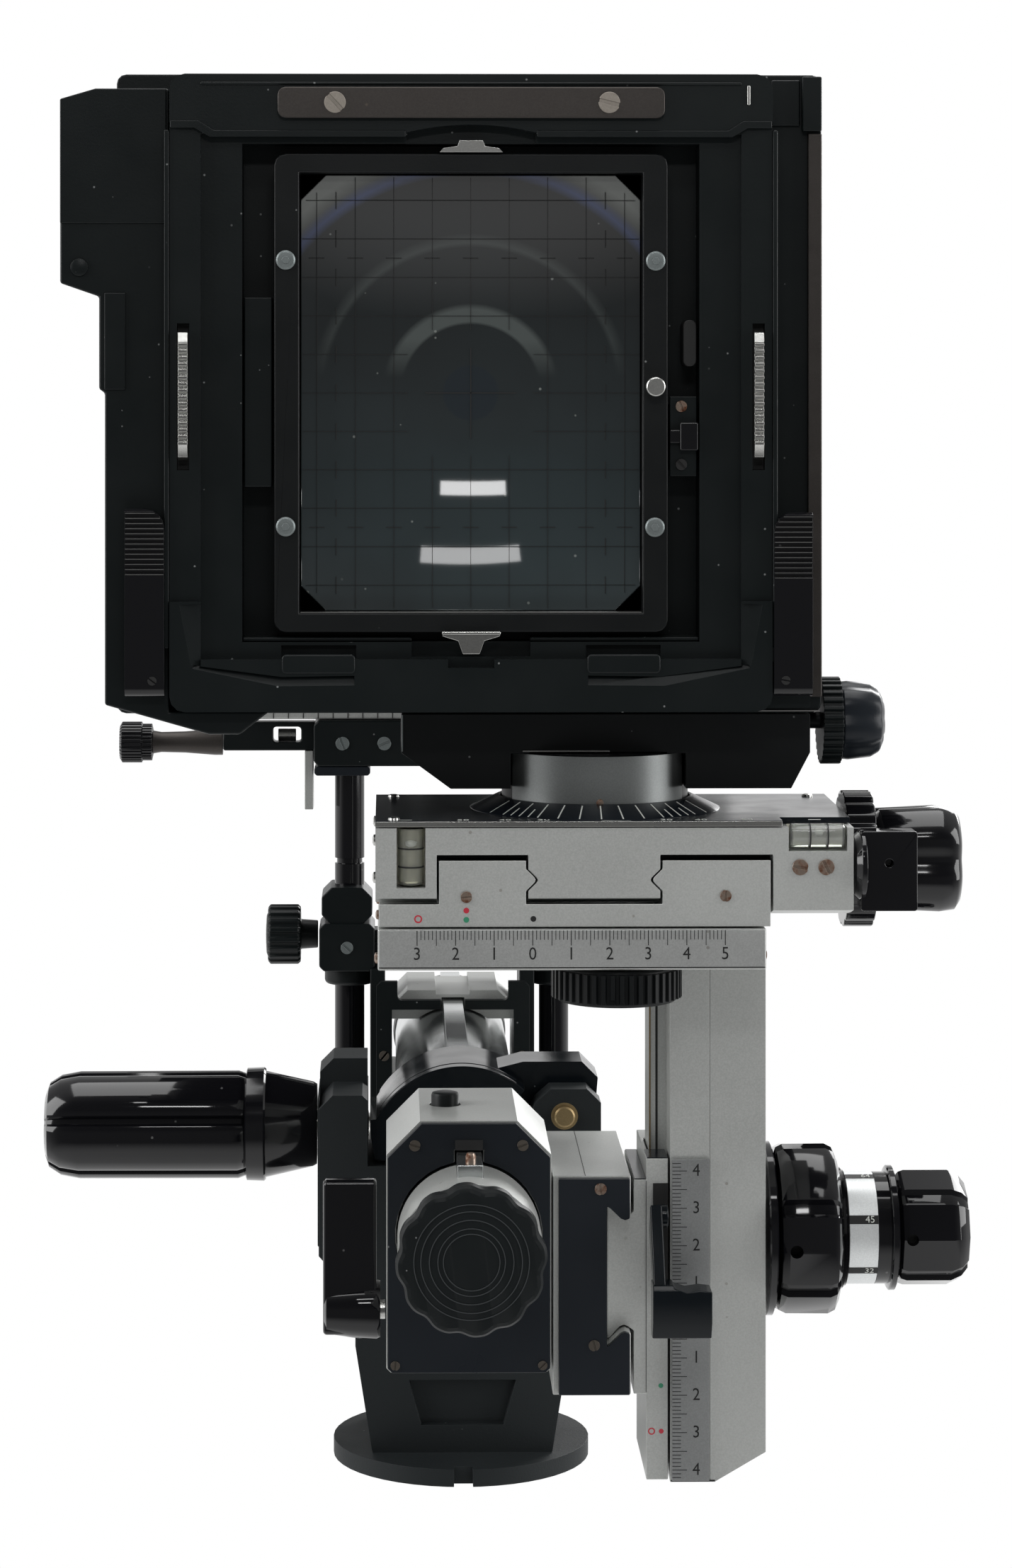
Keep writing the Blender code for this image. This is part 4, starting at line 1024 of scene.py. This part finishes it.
def set_screw(knob, grip, spot, radius, bore, face):
    """A set screw's hole in a knob, dark at its bottom."""
    carve(grip, prism("Y", circle(spot, radius, 24), *bore))
    make(knob + "_hole", prism("Y", circle(spot, radius - 0.05, 24), face, face + 0.2), knob, "ink")


def rise_knob():
    body = "rise_knob"
    flange = [(80.1, 8), (80.5, 8), (80.6, 22.9), (81.0, 23.3), (82.6, 23.3), (83.0, 22.6), (83.1, 20)]
    make("rise_flange", turned("X", KNOB_CENTRE, flange, 96), body, "gloss", smooth=25)
    sections = [(83.0, 18.6), (84.2, 22.2), (86.0, 23.1), (97.4, 23.2), (99.4, 22.2)]
    sections += [(100.6, 19.5), (100.7, 16)]
    grip = turned("X", KNOB_CENTRE, sections, outline_at=lambda r: hexgrip(KNOB_CENTRE, r, 1.9, 35))
    grip = make("rise_knob_shape", grip, body, "gloss", smooth=12)
    set_screw(body, grip, (87.7, 82.4), 1.75, (-110, -102), -102.2)


def depth_ring():
    """The depth of field ring: a light band with black bars and white numbers, and a dark rim."""
    body, radius = "dof_ring", 15.02
    seat = joined(
        turned("X", KNOB_CENTRE, [(101.2, 15.6), (101.9, 16.2), (102.2, 15.4)], 72),
        turned("X", KNOB_CENTRE, [(102.3, 15.2), (102.7, 15.5), (102.9, 15.1)], 72),
    )
    make("dof_seat", seat, body, "gloss", smooth=20)
    band = turned("X", KNOB_CENTRE, [(102.8, 14.8), (102.9, 15.0), (110.6, 15.0), (110.7, 14.8)], 96)
    make("dof_band", band, body, "strip_light", smooth=20, stands_for=body)
    rim = [(110.7, 15.0), (114.2, 15.0), (114.4, 16.2), (114.7, 16.7), (116.0, 16.7), (116.3, 16.2)]
    make("dof_rim", turned("X", KNOB_CENTRE, rim, 96), body, "gloss", smooth=20)
    marks, digits = [], []
    for angle, text in ((20, "45"), (-37, "32"), (77, "64"), (-94, "22"), (134, "90"), (-151, "16")):
        cos, sin = math.cos(math.radians(angle)), math.sin(math.radians(angle))
        mark = box((102.9, 110.6), (-0.05, 0.1), (-1.15, 1.15))
        digit = number(text, 1.9, (108.4, 0.0), y=-0.08)
        for solid in (mark, digit):
            for vert in solid.verts:
                x, y, z = vert.co
                reach = radius - y
                vert.co = (x, KNOB_CENTRE[0] - reach * cos + z * sin, KNOB_CENTRE[1] + reach * sin + z * cos)
            bmesh.ops.recalc_face_normals(solid, faces=solid.faces)
        marks.append(mark)
        digits.append(digit)
    make("dof_bars", joined(*marks), body, "ink")
    make("dof_numbers", joined(*digits), body, "paint_white")


def focus_knob():
    body, full = "focus_knob", 15.6
    sections = [(116.7, 13.6), (117.6, 15.1), (119.0, full), (131.0, full), (134.0, 14.2)]
    sections += [(135.8, 12.0), (136.0, 10)]
    grip = turned(
        "X", KNOB_CENTRE, sections, outline_at=lambda r: hexgrip(KNOB_CENTRE, r, 1.5 * r / full, 46, 4)
    )
    grip = make("focus_knob_shape", grip, body, "gloss", smooth=12)
    set_screw(body, grip, (119.8, 83.8), 1.6, (-105, -96), -96.4)


def rear_block():
    body, lever, cover_y = "rear_carriage", "rear_clamp_lever", -110.35
    block = refined("rear_block", "alloy", 0.45)
    refined("rear_block_cover", "blue_black", 0.15, 1)
    refined("focus_guide", "alloy", 0.3)
    refined("focus_guide_cover", "blue_black", 0.2, 1)
    make("guide_seam", box((31.0, 31.15), (-107.6, -46.3), (103.1, 103.3)), body, "ink")
    screws("cover_screws", body, "brown_screw", cover_y, 1.5, (-14.4, 111.9), (14.3, 111.9))
    screws("cover_screws_low", body, "brown_screw", cover_y, 1.25, (-19.6, 53.4), (19.6, 53.4))
    screws("guide_screw_top", body, "copper", cover_y, 1.6, (35.0, 100.2))
    screws("guide_screw_low", body, "brown_screw", cover_y, 1.5, (33.3, 58.6))
    carve(block, prism("Z", circle((-6, -84), 4.3, 32), 117.2, 119))
    button = turned("Z", (-6, -84), [(114, 3.7), (120.6, 3.75), (121.2, 3.5), (121.4, 2.8)], 40)
    make("release_button_shape", button, "release_button", "black", smooth=30)
    make("ridge_slot", box((-3.7, 3.7), (-110.75, -110.3), (110.7, 113.4)), body, "ink")
    paddle = prism("X", rounded((-104.8, -99.2), (60, 101.4), 1.4), -38.9, -24.6)
    make("clamp_lever_paddle", paddle, lever, "gloss", 1.0, 4, stands_for=lever)
    boss = turned("X", (-100, 66), [(-38.6, 5.2), (-38.0, 6.4), (-31, 7.4), (-24.6, 7.9), (-23.6, 7.5)], 64)
    make("clamp_lever_boss", boss, lever, "gloss", smooth=40)
    make("clamp_lever_pin", turned("X", (-100, 66), [(-24, 2.6), (-22.3, 2.6)], 24), lever, "steel")


def rail():
    body, centre = "rail", (0, RAIL_Z)
    refined("rail", "bright", 0.25)
    stop = turned("Z", (0.2, -123.6), [(109.5, 1.4), (111.8, 1.4), (112.6, 1.0)], 24)
    make("rail_stop", stop, body, "copper")
    sections = [(-135.6, 18.9), (-136.4, 19.7), (-140.4, 19.7), (-141.4, 19.0), (-141.8, 18.0)]
    cap = turned("Y", centre, sections, outline_at=lambda r: lobed(centre, r, 0.95, 12, 288, 0.1, 1.6))
    make("rail_cap_shape", cap, body, "cap", smooth=22, stands_for="rail_cap_rear")
    collar = turned("Y", centre, [(-135.8, 18.8), (-135.7, 19.05), (-110.7, 19.05)], 96)
    make("rail_cap_collar", collar, body, "alloy", smooth=20)
    radii = [(radius + 0.13, radius - 0.13) for radius in (14.9, 13.1, 10.9, 8.7, 7.3)]
    make("rail_cap_rings", joined(*flat_rings(centre, radii, (-141.95, -141.7), 72)), body, "ring_line")
    front = [(205.3, 18.4), (206, 19.3), (214, 19.7), (215.4, 19.2), (216, 17.8)]
    make("rail_cap_front_shape", turned("Y", centre, front, 96), body, "cap", smooth=24)


def rail_clamp():
    jaw, hinge = "clamp_jaw", (29.6, 102.4)
    refined("clamp_base", "dull", 0.9, 3)
    refined("clamp_jaw", "gloss_soft", 0.5, 3)
    outline = arc((0, RAIL_Z), 28.45, 56, 148, 40) + arc((0, RAIL_Z), 27.4, 148, 56, 40)
    for name, low, high in (("jaw_band_-12", -17.6, -12.6), ("jaw_band_17", -11.8, 17.6)):
        make(name, prism("Y", outline, low, high), jaw, "gloss_soft", 0.35)
    pin = joined(
        turned("Y", hinge, [(-21.7, 2.5), (-21.4, 3.0), (21.4, 3.0), (21.7, 2.5)], 40),
        prism("Y", circle(hinge, 3.9, 40), -20.12, -19.8),
    )
    make("jaw_pin_shape", pin, "rail_clamp", "brass", smooth=30)
    pad = joined(
        turned("X", (0, 96.6), [(-41.9, 6.4), (-41.5, 6.4)], 40),
        prism("X", rounded((-18, 18), (64, 107), 2), -41.95, -41.4),
    )
    make("arm_pad", pad, "rail_clamp", "dull", 0.2)


def clamp_handle():
    body, centre, full = "clamp_handle", (0, 96.6), 15.6
    cuts = [(0, 1.9), (3, 1.9), (6, 0.5), (12, 0.0), (24, -0.25), (36, -0.35)]
    cuts += [(48, -0.25), (60, 0.0), (66, 0.5), (69, 1.9)]

    def outline(radius):
        return faceted(centre, radius, 22, 5, [(angle, cut * radius / full) for angle, cut in cuts])

    sections = [(-61.5, 12.0), (-63.0, 14.6), (-65.5, 15.5), (-112, 15.4), (-117.5, 14.4)]
    sections += [(-121, 12.2), (-122, 9.5)]
    grip = turned("X", centre, sections, outline_at=outline)
    make("clamp_grip", grip, body, "gloss", smooth=26, stands_for=body)
    collar = [(-63.3, 15.4), (-62.9, 16.3), (-57.9, 16.5), (-57.4, 16.0), (-57.3, 15.4)]
    collar += [(-43.6, 12.3), (-42.4, 11.6), (-42.3, 9)]
    make("clamp_collar", turned("X", centre, collar, 96), body, "gloss", smooth=22)


# Front standard, seen past the rear one

ROD_Y = 165


def front_block():
    """Silver block on the rail with a black guard plate on its near face."""
    body, half, guard_y = "front_carriage", 22, (139, 144)
    outline = [(-20.8, 50), (20.8, 50), (half, 51.2), (half, 106), (15, 113), (5.6, 113), (5.6, 111.6)]
    outline += [(-5.6, 111.6), (-5.6, 113), (-15, 113), (-half, 106), (-half, 51.2)]
    block = make("front_block_shape", prism("Y", outline, 145, 185), body, "alloy", 0.5)
    carve(
        block,
        prism("Y", circle((0, RAIL_Z), 19.4, 64), 144, 186),
        box((-3.9, 3.9), (144, 186), (100, 110.6)),
        box((-20.3, 20.3), (144, 186), (84, 103.5)),
    )
    guard = prism("Y", octagon((-25.4, 25.4), (62.4, 116.6), 1.5), 139.9, 143.0)
    guard = make("front_guard", guard, body, "black", 0.5)
    carve(
        guard,
        prism("Y", rectangle((-20.2, 20.2), (63.4, 107.3)), *guard_y),
        prism("Y", rounded((-18.4, 18.4), (110.4, 118), 1.5), *guard_y),
        box((-4, 4), guard_y, (100, 111)),
    )
    spacers = [prism("Y", rectangle(sided(side, 20.4, 21.9), (66, 78)), 142.9, 145.1) for side in (-1, 1)]
    make("front_guard_spacers", joined(*spacers), body, "black")
    axle = turned("X", (ROD_Y, 60), [(-29.3, 3.4), (-29, 4.4), (29, 4.4), (29.3, 3.4)], 32)
    make("front_axle", axle, body, "steel")
    spots = [(x, z) for z in (70, 92) for x in (-22.8, 22.8)]
    screws("front_guard_screws", body, "brown_screw", 139.9, 1.7, *spots)


def front_yoke():
    """Two clamps that hold the rods, joined by a bar, with cheeks down to the tilt axle."""
    body = "front_tilt"
    solids = []
    for side in (-1, 1):
        low, high = sided(side, 44.6, 26)
        solids.append(prism("Y", octagon((low, high), (118, 134), 1.6), 153, 177))
        solids.append(prism("Y", octagon((low + 0.8, high - 0.8), (133.6, 146), 3.2), 154, 176))
        cheek = arc((ROD_Y, 60), 12.5, 180, 360, 20) + [(177.5, 119), (152.5, 119)]
        solids.append(prism("X", cheek, *sided(side, 22.5, 27.5)))
        solids.append(turned("Z", (side * 34.5, ROD_Y), [(112.5, 7.6), (113.4, 8.4), (118.1, 8.4)], 40))
    solids.append(box((-27, 27), (157, 173), (119, 127)))
    solids.append(box((-27, 27), (160, 170), (126.8, 131)))
    make("front_yoke_shape", joined(*solids), body, "black", 0.5)
    screws("front_yoke_screws", body, "grey_screw", 152.9, 2.1, (-35.3, 126), (35.3, 126))
    screws("front_link_screws", body, "grey_screw", 156.9, 1.9, (-16, 123), (16, 123))
    for side, name in ((-1, "left"), (1, "right")):
        disc = turned("X", (ROD_Y, 60), [(side * 27.4, 8.5), (side * 28.4, 8.2), (side * 28.5, 5.0)], 40)
        make("tilt_boss_" + name, disc, body, "steel", 0.2)


def front_rods():
    """Two rods with a groove ring, a beam across them, and the shift knob's bracket."""
    body = "front_rise"
    profile = [(60.2, 4.2), (60.9, 5.0), (153.1, 5.0), (153.3, 4.3), (154.8, 4.3), (155.0, 5.0), (183, 5.0)]
    for x, name in ((-34.5, "left"), (34.5, "right")):
        make("rod_" + name + "_shape", turned("Z", (x, ROD_Y), profile, 40), body, "gloss")
    beam = prism("Y", octagon((-46.5, 46.5), (186.6, 202.0), 1.6), 155, 175)
    make("front_crossbar_shape", beam, body, "black", 0.6)
    rims = [octagon(sided(side, 27.5, 46.3), (183.4, 186.5), 0.8) for side in (-1, 1)]
    make("rod_collars", joined(*(prism("Y", rim, 155.6, 174.4) for rim in rims)), body, "blue_black", 0.3)
    bracket = make("knob_bracket", box((-77, -46), (161, 169), (191.4, 201)), body, "black", 0.5)
    carve(bracket, prism("Y", rounded((-60.3, -50.8), (194.2, 199.4), 1.2), 160, 170))
    make("bracket_nut", prism("X", circle((ROD_Y, 196.4), 2.4, 6), -58.6, -52.6), body, "steel", 0.2)
    make("beam_plate", box((-49.6, -46.7), (160, 170), (171.6, 191.3)), body, "alloy", 0.3)
    spots = [(x, 194.3) for x in (-36.8, -22.8, 22.8, 36.8)]
    screws("beam_screws", body, "grey_screw", 154.9, 2.3, *spots)


def front_knobs():
    """Shift knob on its stalk at the left, rise knob beside the yoke, and the block's clamp knob."""
    body, axis = "front_shift_knob", (ROD_Y, 194)
    profile = [(-112, 5.6), (-111.2, 6.9), (-104.6, 6.9), (-104.3, 6.2), (-101.2, 6.2), (-100.7, 4.0)]
    head = turned("X", axis, profile, outline_at=lambda radius: toothed(axis, radius, 0.45, 30))
    make("front_shift_knob_head", head, body, "gloss", 0.15, 1, stands_for=body)
    stalk = turned("X", axis, [(-101, 3.9), (-98, 3.4), (-90, 3.6), (-80, 4.4), (-77.3, 4.4)], 40)
    make("front_shift_stalk", stalk, body, "bronze", 0.2)
    body, hub_axis = "front_rise_knob", (ROD_Y, 129)
    profile = [(-62, 9), (-61.2, 10), (-51.8, 10), (-51, 9.2)]
    rim = turned("X", hub_axis, profile, outline_at=lambda radius: toothed(hub_axis, radius, 0.8, 18))
    core = turned("X", hub_axis, [(-62.5, 6.4), (-62, 7.4), (-52, 7.4), (-50.8, 5), (-45.2, 4.6)], 40)
    make("front_rise_knob_shape", joined(rim, core), body, "black", 0.3)
    cap = turned("X", hub_axis, [(-62.7, 3.4), (-62.4, 4.0)], 32)
    make("front_rise_knob_cap", cap, body, "alloy", 0.1, 1)
    profile = [(49.8, 6), (46.2, 6), (45.8, 11.4), (45.2, 12), (36.8, 12), (36, 11.2), (34.2, 9)]
    below = (0, ROD_Y)
    knob = turned("Z", below, profile, outline_at=lambda radius: lobed(below, radius, 0.05 * radius, 8, 160))
    make("front_block_knob_shape", knob, "front_block_knob", "gloss", smooth=40)


def front_head():
    """Shift bar, swing bearer and lens board with its latches."""
    body, shift = "front_swing", "front_shift"
    bar = box((-69.6, 69.6), (157, 173), (202.25, 207.6))
    make("front_shift_bar_shape", bar, shift, "alloy", 0.7)
    ticks = []
    for i in range(25):
        x = -60 + 5 * i
        ticks.append(box((x - 0.15, x + 0.15), (156.9, 157.1), (202.6, 205 if i % 2 else 206.4)))
    make("front_shift_marks", joined(*ticks), shift, "ink")
    base = turned("Z", (0, ROD_Y), [(208.2, 18.6), (209, 19.6), (213.5, 19.6)], 72)
    make("front_swing_disc", base, body, "alloy", 0.2)
    bearer = prism("Y", octagon((-45, 45), (213.4, 227.2), 1.4), 152.3, 177.7)
    make("front_swing_bearer_shape", bearer, body, "black", 0.7)
    spots = [(x, 220.5) for x in (-36, 36, -12, 12)]
    screws("front_bearer_screws", body, "grey_screw", 152.2, 2.4, *spots)
    beyond = discs("Y", spots, 2.6, 177.6, 178.1, 28)
    make("front_bearer_screws_beyond", beyond, body, "grey_screw", 0.15, 1)
    board = prism("Y", rounded((-69.7, 69.7), (242.3, 381.7), 3), 170.3, 173.7)
    board = make("lens_board_shape", board, body, "black", 0.5)
    carve(board, turned("Y", (0, LENS_Z), [(169, 20.9), (175, 20.9)]))
    step = prism("Y", rounded((-60, 60), (252, 372), 3), 173.5, 175.2)
    step = make("lens_board_step", step, body, "dull", 0.8)
    carve(step, turned("Y", (0, LENS_Z), [(172, 33.4), (177, 33.4)]))
    for z, name in ((241.2, "low"), (382.8, "high")):
        latch = prism("Y", rounded((-34, 34), (z - 3.5, z + 3.5), 1), 173.9, 176.8)
        make("board_latch_" + name, latch, body, "alloy", 0.5)
        heads = discs("Y", ((-24, z), (24, z)), 2.0, 176.6, 177.2, 24)
        make("board_latch_screws_" + name, heads, body, "grey_screw", 0.1, 1)


def lens():
    """A lens in its shutter, with an aperture ring."""
    body, axis = "front_swing", (0, LENS_Z)

    def tube(name, finish, profile, bore, steps=96, stands_for=None, outline_at=None):
        """A turned shape round the lens axis, bored out."""
        made = make(name, turned("Y", axis, profile, steps, outline_at), body, finish, stands_for=stands_for)
        carve(made, turned("Y", axis, bore))

    case = [(160.4, 19.6), (160.8, 20.4), (174.0, 20.4), (174.2, 31.6), (175, 32.8), (193, 32.8), (194, 32.0)]
    tube("shutter_case", "black", case, [(159, 15.1), (195, 15.1)], stands_for="shutter_body")
    barrel = [(193.8, 26), (203, 26), (203.3, 25.2), (205.4, 25.2), (205.7, 26), (218.6, 26), (219.7, 25.2)]
    bore = [(192, 15.2), (206, 15.2), (206.1, 22.4), (219.2, 22.4), (221, 23.4)]
    tube("lens_barrel", "gloss", barrel, bore)
    knurl = [(206.6, 25.8), (207, 26.15), (213, 26.15), (213.4, 25.8)]
    bore = [(205, 24.4), (215, 24.4)]
    tube("barrel_knurl", "gloss", knurl, bore, outline_at=lambda r: toothed(axis, r, 0.4, 90))
    tube("barrel_trim", "alloy", [(218.2, 24.2), (219.95, 24.2)], [(217, 22.6), (219, 22.6), (221, 23.8)])
    tube("barrel_lining", "ink", [(161, 14.9), (200, 14.9)], [(159, 14.2), (199.5, 14.2)], 64)
    rear = [(161.2, 6), (162.8, 11), (164.6, 14.0), (167, 14.0), (167.6, 11), (168, 6)]
    make("rear_glass", turned("Y", axis, rear), body, "lens")
    front = [(207, 22.1), (211.4, 22.1), (213.0, 18), (214.6, 12), (215.6, 6), (216, 2)]
    make("front_glass", turned("Y", axis, front, 72), body, "lens", stands_for="lens_glass", smooth=50)
    make("iris", turned("Y", axis, [(199, 14.9), (200.4, 14.9)]), body, "ink")
    dial = prism("Y", toothed(axis, 30.8, 0.6, 72), 194.7, 201.8)
    dial = make("aperture_ring_shape", dial, "aperture_ring", "alloy", 0.15, 1)
    carve(dial, turned("Y", axis, [(193, 26.4), (203, 26.4)]))
    tube("shutter_band", "alloy", [(176.5, 32.95), (181, 32.95)], [(175, 32.2), (182, 32.2)])
    make("cocking_lever", box((-1.6, 1.6), (183, 186), (343, 349)), body, "steel", 0.4)
    make("release_tab", box((22.4, 26.4), (184, 187.5), (334, 341)), body, "steel", 0.4)
    post = turned("Z", (-24, 186), [(331, 1.6), (337, 1.6), (337.2, 2.4), (339, 2.4)], 28)
    make("cable_socket", post, body, "steel", 0.15)


# Bellows: short lengths of straight pleated tube laid end to end between the frames; each is listed with one
# body of the path, but none rides on it

FOLD = 248.0 / 33
FOLDS = (
    ("rear_swing", 5), ("rear_tilt", 3), ("rear_shift", 2), ("rear_column", 2), ("focus_carrier", 3),
    ("rear_carriage", 2), ("rail", 3), ("front_carriage", 6), ("front_tilt", 2), ("front_rise", 1),
    ("front_shift", 4),
)
# One pleat: share of its length, half of its width, size of its cut corners
PLEAT = (
    (0, 64.5, 9), (0.06, 65.5, 8.4), (0.44, 74, 2.8), (0.5, 74.7, 2.4), (0.56, 74, 2.8), (0.94, 65.5, 8.4),
)


def pleats(start, count):
    """An open tube of pleats with some thickness, whose edges are slightly rounded."""
    thick = 0.9
    outer = []
    for i in range(count):
        outer += [(start + (i + share) * FOLD, half, corner) for share, half, corner in PLEAT]
    outer.append((start + count * FOLD, *PLEAT[0][1:]))
    inner = [(y, half - thick, corner) for y, half, corner in outer[::-1]]
    rings = []
    for y, half, corner in outer + inner:
        rings.append((y, octagon((-half, half), (LENS_Z - half, LENS_Z + half), corner)))
    tube = loft("Y", rings + rings[:1], closed_ends=False)
    bmesh.ops.remove_doubles(tube, verts=tube.verts, dist=0.001)
    bmesh.ops.recalc_face_normals(tube, faces=tube.faces)
    return tube


def bellows():
    start = -96.5
    for i, (body, count) in enumerate(FOLDS):
        name = f"bellows_{i + 1}"
        mesh = mesh_of(name, pleats(start, count))
        soften(mesh, 25)
        mesh.materials.append(FINISH["cloth"])
        tube = placed(name, mesh)
        end = start + count * FOLD
        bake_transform(tube)
        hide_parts("bellows")
        start = end
    stood_for.add("bellows")


# Nodes that no piece above stands for keep the CAD's own shape
REST = {"front_frame": "black", "clamp_stud": "steel"}


def studio():
    """A white sweep beyond the object and a dark room behind the operator, with soft lamps."""
    world = bpy.context.scene.world or bpy.data.worlds.new("studio")
    bpy.context.scene.world = world
    graph = Graph(world, "Generated")
    split = graph.axes()
    smooth = {"interpolation_type": "SMOOTHSTEP"}
    beyond = graph.between(split["Y"], -0.75, 0.15, 0.12, 1.0, **smooth)
    below = graph.between(split["Z"], -0.25, -0.8, 0.0, 0.85, **smooth)
    above = graph.between(split["Z"], 0.1, 0.42, 1.0, 0.5, **smooth)
    background = graph.tree.nodes["Background"]
    background.inputs["Color"].default_value = (1, 1, 1, 1)
    graph.link(graph.maths("MAXIMUM", graph.times(beyond, above), below), background.inputs["Strength"])
    for name, spot, aim, size, power in (
        ("arc_low", (0.01, -0.95, 0.733), (0, -0.13, 0.29), (0.29, 0.062), 0.9),
        ("arc_high", (0.02, -0.72, 0.895), (0, -0.13, 0.27), (0.36, 0.06), 0.62),
        ("key_left", (-1.4, -0.42, 0.8), (0, 0, 0.2), (0.9, 1.2), 18),
        ("key_right", (1.4, -0.4, 0.6), (0, 0, 0.2), (0.7, 1.2), 14),
        ("top", (0, 0.1, 1.7), (0, 0, 0.2), (1.4, 1.4), 20),
        ("front_key", (0.9, 1.5, 0.9), (0, 0.1, 0.25), (1.0, 1.0), 22),
        ("fill", (0.25, -0.8, -0.28), (0.05, 0, 0.05), (0.8, 0.5), 2.2),
    ):
        lamp = bpy.data.lights.new(name, "AREA")
        lamp.shape = "RECTANGLE"
        lamp.size, lamp.size_y = size
        lamp.energy = power
        holder = placed(name, lamp)
        holder.location = spot
        holder.rotation_euler = (Vector(aim) - Vector(spot)).to_track_quat("-Z", "Y").to_euler()
        holder.visible_glossy = name != "fill"
    bpy.context.scene.view_settings.view_transform = "Standard"


def camera():
    """A level view along the optical axis, part of whose offset is a small turn and part lens shift."""
    camera_data = bpy.data.cameras.new("camera")
    camera_data.sensor_width = 36
    camera_data.lens = 87.03
    camera_data.shift_x = 0.0376
    camera_data.shift_y = -0.2494
    holder = placed("camera", camera_data)
    holder.location = (-0.0215, -1.118, 0.312)
    holder.rotation_euler = (math.radians(90), 0, math.radians(-0.89))
    bpy.context.scene.camera = holder


back_frame()
spring_clips()
levers()
thumb_slides()
ground_glass()
rear_frame()
shift_scale()
shift_carriage()
tilt_carriage()
level_vials()
swing_plate()
hub()
tilt_controls()
shift_wheel()
column()
focus_slide()
rise_knob()
depth_ring()
focus_knob()
rear_block()
rail()
rail_clamp()
clamp_handle()
front_block()
front_yoke()
front_rods()
front_knobs()
front_head()
lens()
bellows()
for node, finish in REST.items():
    refined(node, finish, 0.4)
studio()
camera()
bpy.context.view_layer.update()
